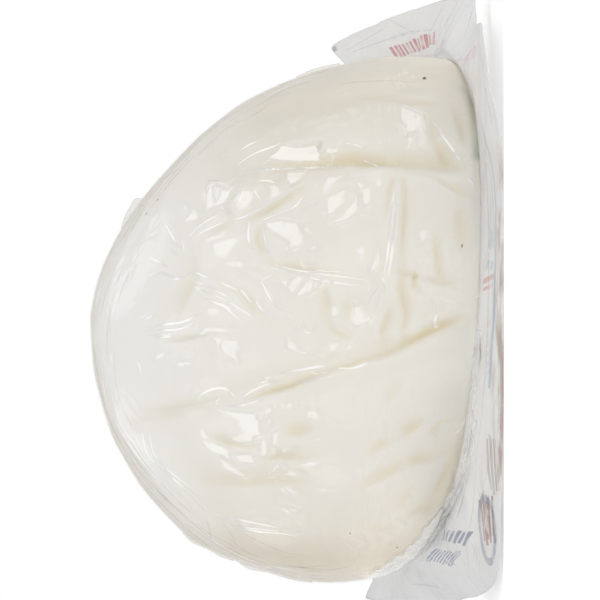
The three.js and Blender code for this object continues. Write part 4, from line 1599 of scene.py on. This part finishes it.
def cast_ray(trees, x, z, far):
    """The front surface's point and normal, in metres, under a place that the creases are drawn in."""
    if far:
        origin = Vector(((FAR_SHIFT - x) / FAR_STRETCH * MM, FAR_RAY_START * MM, z * MM))
        target = origin - Vector((0, FAR_RAY_START * MM, 0))
    else:
        origin = Vector((CAMERA_ALONG * MM, -CAMERA_DISTANCE * MM, CAMERA_HEIGHT * MM))
        target = Vector((x * MM, 0, z * MM))
    hits = [tree.ray_cast(origin, (target - origin).normalized()) for tree in trees]
    hits = [hit for hit in hits if hit[0] is not None]
    if not hits:
        return None
    place, normal, _, _ = min(hits, key=lambda hit: hit[3])
    if far and place.y < FAR_RAY_LIMIT * MM:
        return None
    return place + normal * STRIP_LIFT * MM, normal


def kept_if_facing(hit):
    """The hit, or nothing where the film turns away too far for a crease to be placed well on it."""
    return None if hit is None or abs(hit[1].y) < GRAZING else hit


def cast_inwards(trees, point):
    """The film's point and normal, in metres, straight outwards of a point near it."""
    centre = Vector((0, 0, CENTRE_HEIGHT * MM))
    outward = (Vector(point) * MM - centre).normalized()
    hits = [tree.ray_cast(centre + outward * (OUTSIDE * MM), -outward) for tree in trees]
    place, normal, _, _ = min((hit for hit in hits if hit[0] is not None), key=lambda hit: hit[3])
    return place + normal * STRIP_LIFT * MM, normal


def at_shares(line, shares):
    """Places on a line, by their share of the way along its list of points."""
    whole = np.linspace(0, 1, len(line))
    return np.stack([np.interp(shares, whole, line[:, i]) for i in range(line.shape[1])], -1)


def loose_edges(spacing, count):
    """The two edges of the loose strip of film, with equally many points each."""
    shares = np.linspace(0, 1, count)
    return [at_shares(smooth_path(on_plane(edge), spacing), shares) for edge in LOOSE_EDGES]


def loose_streaks(count):
    """Short bright streaks along the strip of loose film beside the seal, as a list of paths."""
    rng = np.random.default_rng(LOOSE_SEED)
    inner, outer = loose_edges(spacing=0.5, count=80)
    points, last_start, sway = 5, 0.9, 0.08
    least_length, most_length, least_width, most_width = 0.04, 0.16, 0.05, 0.13
    paths = []
    for _ in range(count):
        start, length = rng.uniform(0, last_start), rng.uniform(least_length, most_length)
        place = np.linspace(start, min(1, start + length), points)
        first, slope = rng.uniform(0.05, 0.95), rng.uniform(-0.5, 0.5)
        share = np.clip(first + slope * np.linspace(0, 1, points), 0, 1)
        share = (share + rng.uniform(-sway, sway, points))[:, None]
        path = at_shares(inner, place) * (1 - share) + at_shares(outer, place) * share
        paths.append((rng.uniform(least_width, most_width), path))
    return paths


def loose_sheet():
    """Points on the two films between the edges of the loose strip, as a grid, and their normals."""
    rows, columns, spacing, passes = 13, 150, 0.2, 3
    overlap, most_overlap = 0.04, 0.15
    trees = [surface_tree("clear_film"), surface_tree("printed_film_sheet")]
    inner, outer = loose_edges(spacing, columns)
    t = np.linspace(0, 1, columns)
    ragged = 0.16 * np.sin(t * 61) * np.sin(t * 23) + 0.1 * np.sin(t * 140)
    place, normal = [], []
    for share in np.linspace(-overlap, 1, rows):
        push = np.clip(share + ragged * (1 - share), -most_overlap, 1)[:, None]
        hits = [cast_ray(trees, x, z, False) for x, z in inner * (1 - push) + outer * push]
        place.append([np.array(hit[0]) / MM for hit in hits])
        normal.append([np.array(hit[1]) for hit in hits])
    place, normal = np.array(place), np.array(normal)
    for _ in range(passes):
        for values in (place, normal):  # each point moves halfway to the mean of its neighbours
            values[1:-1] = (values[:-2] + 2 * values[1:-1] + values[2:]) / 4
            values[:, 1:-1] = (values[:, :-2] + 2 * values[:, 1:-1] + values[:, 2:]) / 4
    normal /= np.linalg.norm(normal, axis=-1, keepdims=True)
    return place, normal


def crease_tree():
    """Geometry Nodes that turn lines on the film into low rounded strips of film."""
    tree = bpy.data.node_groups.new("crease_strips", "GeometryNodeTree")
    for label, kind in (("Geometry", "NodeSocketGeometry"), ("Sides", "NodeSocketInt"),
                        ("Flatness", "NodeSocketFloat"), ("Material", "NodeSocketMaterial")):
        tree.interface.new_socket(label, in_out="INPUT", socket_type=kind)
    tree.interface.new_socket("Geometry", in_out="OUTPUT", socket_type="NodeSocketGeometry")
    m = NodeMaker(tree)
    source = m.add("NodeGroupInput").outputs
    half, centre, facing = (
        m.add("GeometryNodeInputNamedAttribute", {"Name": label}, data_type=kind).outputs["Attribute"]
        for label, kind in (("half_width", "FLOAT"), ("centre", "FLOAT_VECTOR"), ("facing", "FLOAT_VECTOR")))
    line = m.add("GeometryNodeMeshToCurve", {"Mesh": source["Geometry"]}).outputs["Curve"]
    inputs = {"Resolution": source["Sides"], "Radius": 1.0}
    ring = m.add("GeometryNodeCurvePrimitiveCircle", inputs).outputs["Curve"]
    inputs = {"Curve": line, "Profile Curve": ring, "Scale": half, "Fill Caps": True}
    strip = m.add("GeometryNodeCurveToMesh", inputs)
    offset = m.vector("SUBTRACT", m.add("GeometryNodeInputPosition").outputs[0], centre)
    rise = m.times(m.vector("DOT_PRODUCT", offset, facing), source["Flatness"])
    inputs = {"Geometry": strip.outputs["Mesh"], "Offset": m.scaled(facing, m.times(rise, -1.0))}
    moved = m.add("GeometryNodeSetPosition", inputs)
    soft = m.add("GeometryNodeSetShadeSmooth", {"Geometry": moved.outputs[0]})
    real = m.add("GeometryNodeRealizeInstances", {"Geometry": soft.outputs[0]})
    inputs = {"Geometry": real.outputs[0], "Material": source["Material"]}
    done = m.add("GeometryNodeSetMaterial", inputs)
    m.add("NodeGroupOutput", {"Geometry": done.outputs[0]})
    return tree


def crease_piece(name, paths, flatness, material, films, mirrored):
    """Makes one piece of strips of film that lie along paths on the films that are named."""
    strips = laid_on_film(paths, films, mirrored)
    points = np.array([(*place, *normal, size) for run in strips for place, normal, size in run])
    centres, facings, sizes = points[:, :3], points[:, 3:6], points[:, 6]
    starts = np.cumsum([0] + [len(run) for run in strips])
    edges = [(i, i + 1) for a, b in zip(starts, starts[1:]) for i in range(a, b - 1)]
    piece = mesh_object(name, centres / MM, [], material, edges)
    add_values(piece, "half_width", sizes * MM)
    for label, values in (("centre", centres), ("facing", facings)):
        layer = piece.data.attributes.new(label, "FLOAT_VECTOR", "POINT")
        layer.data.foreach_set("vector", values.astype(np.float32).ravel())
    modifier = piece.modifiers.new("strips", "NODES")
    modifier.node_group = bpy.data.node_groups.get("crease_strips") or crease_tree()
    items = modifier.node_group.interface.items_tree
    sockets = {item.name: item.identifier for item in items if item.in_out == "INPUT"}
    for label, value in (("Sides", STRIP_SIDES), ("Flatness", flatness), ("Material", material)):
        modifier[sockets[label]] = value
    baked = bpy.data.meshes.new_from_object(piece.evaluated_get(bpy.context.evaluated_depsgraph_get()))
    piece.modifiers.clear()
    line_mesh = piece.data
    piece.data = baked
    bpy.data.meshes.remove(line_mesh)
    baked.name = name
    add_values(piece, "gloss", np.ones(len(baked.vertices)))
    return piece


class MOZZARELLA_OT_film_creases(bpy.types.Operator):
    """Make the sharp crests of both films, and their dark creases as strips of painted shade"""

    bl_idname = "mozzarella.film_creases"
    bl_label = "Film creases"

    def execute(self, context):
        crests, dark = rim_streaks()
        bright = lines_on_plane(FLANGE_CRESTS) + loose_streaks(LOOSE_STREAKS)
        crest = make_film_material("film_crest", base=1.0, extra=9.0, crinkle=0.0, most=0.55)
        faint_crest = make_film_material("film_faint_crest", base=1.0, extra=3.0, crinkle=0.0, most=0.38)
        # The shadow and crease materials are strips of painted shade along the creases
        shadow = make_doubled_material("film_shadow", SHADOW_BROWN, cover=0.07)
        grey = make_doubled_material("film_crease", CREASE_SHADE_GREY, cover=0.1)
        ball, both = ("clear_film",), ("clear_film", "printed_film_sheet")
        sharp, blunt = 0.95, 0.8
        rows = [
            ("clear_film", "film_crests", lines_on_plane(CRESTS) + crests, sharp, crest, ball, True),
            ("clear_film", "film_shadows", lines_on_plane(DARK_CREASES) + dark, blunt, shadow, ball, False),
            ("clear_film", "flange_crests", bright, sharp, faint_crest, both, False),
            ("printed_film", "flange_creases", lines_on_plane(FLANGE_CREASES), blunt, grey, both, False),
        ]
        for slot, *row in rows:
            finish_piece(crease_piece(*row), slot)
        return {"FINISHED"}


def sheet_faces(rows, columns):
    """Faces of a thin closed sheet: an upper grid, a like one under it, and the rim between them."""
    count = rows * columns
    faces = []
    for i in range(rows - 1):
        for j in range(columns - 1):
            a, b = i * columns + j, (i + 1) * columns + j
            upper = [a, b, b + 1, a + 1]
            faces += [upper, [k + count for k in reversed(upper)]]
    right = [i * columns + columns - 1 for i in range(1, rows)]
    bottom = [(rows - 1) * columns + j for j in range(columns - 2, -1, -1)]
    left = [i * columns for i in range(rows - 2, 0, -1)]
    rim = [*range(columns), *right, *bottom, *left]
    return faces + [[a, b, b + count, a + count] for a, b in zip(rim, rim[1:] + rim[:1])]


class MOZZARELLA_OT_loose_film(bpy.types.Operator):
    """Make the strip of loose crumpled film between the cheese and the seal"""

    bl_idname = "mozzarella.loose_film"
    bl_label = "Loose film"

    def execute(self, context):
        thickness, mean_lift, least_lift, broad_height, fine_height = 0.05, 0.22, 0.06, 0.1, 0.035
        place, normal = loose_sheet()
        broad, fine = waves(place, *CRUMPLE_WAVES), waves(place, *FINE_CRUMPLE_WAVES)
        crumple = np.maximum(mean_lift + broad_height * broad + fine_height * fine, least_lift)
        layers = [place + normal * (crumple + rise)[..., None] for rise in (thickness, 0)]
        points = np.concatenate([layer.reshape(-1, 3) for layer in layers])
        material = make_doubled_material("film_loose", LOOSE_WHITE, cover=0.4)
        piece = mesh_object("loose_film", points, sheet_faces(*place.shape[:2]), material)
        face_outwards(piece)
        finish_piece(piece, "clear_film")
        return {"FINISHED"}


class MOZZARELLA_OT_pleats(bpy.types.Operator):
    """Make the small pleats of clear film that stand out from the ball's outline"""

    bl_idname = "mozzarella.pleats"
    bl_label = "Pleats"

    def execute(self, context):
        root, root_half, edge_half, front, spacing = 0.3, 0.05, 0.03, 2, 0.35
        tree = surface_tree("clear_film")
        centre = Vector((0, -front * MM, CENTRE_HEIGHT * MM))
        points, faces = [], []
        for row in PLEATS:
            places = on_plane([point[:2] for point in row])
            line = smooth_path([(*place, point[2]) for place, point in zip(places, row)], spacing)
            first = len(points)
            for x, z, height in line:
                outward = unit((x, 0, z - CENTRE_HEIGHT))
                start = centre + Vector(outward) * (OUTSIDE * MM)
                foot = np.array(tree.ray_cast(start, Vector(-outward))[0]) / MM
                for rise, side in ((-root, -root_half), (height, -edge_half), (height, edge_half),
                                   (-root, root_half)):
                    points.append(foot + outward * rise + (0, side, 0))
            last = len(points) - 4
            for k in range(first, last, 4):
                faces += [[k + i, k + (i + 1) % 4, k + 4 + (i + 1) % 4, k + 4 + i] for i in range(4)]
            faces += [[first + 3, first + 2, first + 1, first], [last, last + 1, last + 2, last + 3]]
        material = make_doubled_material("film_pleat", PLEAT_WHITE, cover=0.5)
        piece = mesh_object("film_pleats", points, faces, material)
        face_outwards(piece)
        finish_piece(piece, "clear_film")
        return {"FINISHED"}


def make_speck_material():
    """Dull and dark."""
    material, m = new_material("speck")
    inputs = {"Base Color": (*SPECK_BROWN, 1), "Roughness": 0.6}
    m.finish(m.add("ShaderNodeBsdfPrincipled", inputs))
    return material


class MOZZARELLA_OT_specks(bpy.types.Operator):
    """Make the small specks between the cheese and the film"""

    bl_idname = "mozzarella.specks"
    bl_label = "Specks"

    def execute(self, context):
        sides, top, rim_height, bottom = 12, 0.16, 0.06, -0.1
        trees = [surface_tree("cheese")]
        rng = np.random.default_rng(SPECK_SEED)
        points, faces = [], []
        for spot, half_long, half_wide in SPECKS:
            place, normal = (np.array(part) for part in cast_ray(trees, *on_plane([spot])[0], False))
            middle = place / MM
            across = unit(np.cross(normal, (0.2, 0, 1)))
            along = np.cross(across, normal)
            first = len(points)
            points += [middle + normal * top, middle + normal * bottom]
            for turn in np.arange(sides) / sides * TAU:
                size = rng.uniform(0.8, 1.15)
                rim = along * half_wide * math.cos(turn) + across * half_long * math.sin(turn)
                points.append(middle + normal * rim_height + rim * size)
            for i in range(sides):
                a, b = first + 2 + i, first + 2 + (i + 1) % sides
                faces += [[first, a, b], [first + 1, b, a]]
        piece = mesh_object("specks", points, faces, make_speck_material())
        face_outwards(piece)
        finish_piece(piece, "cheese")
        return {"FINISHED"}


class MOZZARELLA_OT_printed_film(bpy.types.Operator):
    """Make the printed film under the ball"""

    bl_idname = "mozzarella.printed_film"
    bl_label = "Printed film"

    def execute(self, context):
        thickness = context.scene.pack_sizes.printed_thickness / MM
        columns, inner_rows, flange_rows = 480, 25, 24
        inner, flange = (np.linspace(0, 1, rows + 1)[1:] for rows in (inner_rows, flange_rows))
        steps = np.concatenate([inner, 1 + flange])
        angle, s = np.meshgrid(np.arange(columns) / columns * TAU, steps)
        low = underside(angle, s)
        low[..., 2] += flange_wrinkles(low, s)
        high = low + grid_normals(low) * thickness
        points, faces = closed_rings((0, 0, thickness), np.concatenate([high, low[::-1]]), (0, 0, 0))
        material = make_printed_material(context.scene.pack_colours)
        piece = mesh_object("printed_film_sheet", points, faces, material)
        finish_piece(piece, "printed_film", "printed_film")
        return {"FINISHED"}


def flange_wrinkles(p, s):
    """Fine wrinkles of the free flange, none where it lies on the table."""
    off_table, past_seal = (0.3, 1.5), (1.02, 0.15)
    wrinkle_height, wrinkle_stretch = 0.16, (0.5, 1.2, 1.0)
    rib_height, rib_stretch = 0.1, (1.0, 0.6, 0.6)
    free = ramp(p[..., 2], *off_table) * smooth(s, *past_seal)
    along = wrinkle_height * waves(p * wrinkle_stretch, *WRINKLE_WAVES)
    ribs = rib_height * waves(p * rib_stretch, *RIB_WAVES)
    return free * (along + ribs)


class MOZZARELLA_PT_panel(bpy.types.Panel):
    """Lists the operators of the pack, with its sizes and colours"""

    bl_label = "Mozzarella"
    bl_idname = "MOZZARELLA_PT_panel"
    bl_space_type = "VIEW_3D"
    bl_region_type = "UI"
    bl_category = "Mozzarella"

    def draw(self, context):
        for group in (context.scene.pack_sizes, context.scene.pack_colours):
            for key in group.__annotations__:
                self.layout.prop(group, key)
        for operator in OPERATORS:
            self.layout.operator(operator.bl_idname)


GROUPS = {"pack_sizes": PackSizes, "pack_colours": PackColours}
OPERATORS = (
    MOZZARELLA_OT_stage,
    MOZZARELLA_OT_cheese,
    MOZZARELLA_OT_specks,
    MOZZARELLA_OT_clear_film,
    MOZZARELLA_OT_pleats,
    MOZZARELLA_OT_printed_film,
    MOZZARELLA_OT_film_creases,
    MOZZARELLA_OT_loose_film,
)


def register():
    for cls in (*GROUPS.values(), *OPERATORS, MOZZARELLA_PT_panel):
        bpy.utils.register_class(cls)
    for name, cls in GROUPS.items():
        setattr(bpy.types.Scene, name, bpy.props.PointerProperty(type=cls))


def unregister():
    for name in GROUPS:
        delattr(bpy.types.Scene, name)
    for cls in (MOZZARELLA_PT_panel, *reversed(OPERATORS), *GROUPS.values()):
        bpy.utils.unregister_class(cls)


def main():
    register()
    bpy.ops.mozzarella.stage()
    bpy.ops.mozzarella.cheese()
    bpy.ops.mozzarella.specks()
    bpy.ops.mozzarella.clear_film()
    bpy.ops.mozzarella.pleats()
    bpy.ops.mozzarella.printed_film()
    bpy.ops.mozzarella.film_creases()
    bpy.ops.mozzarella.loose_film()


if __name__ == "__main__":
    main()
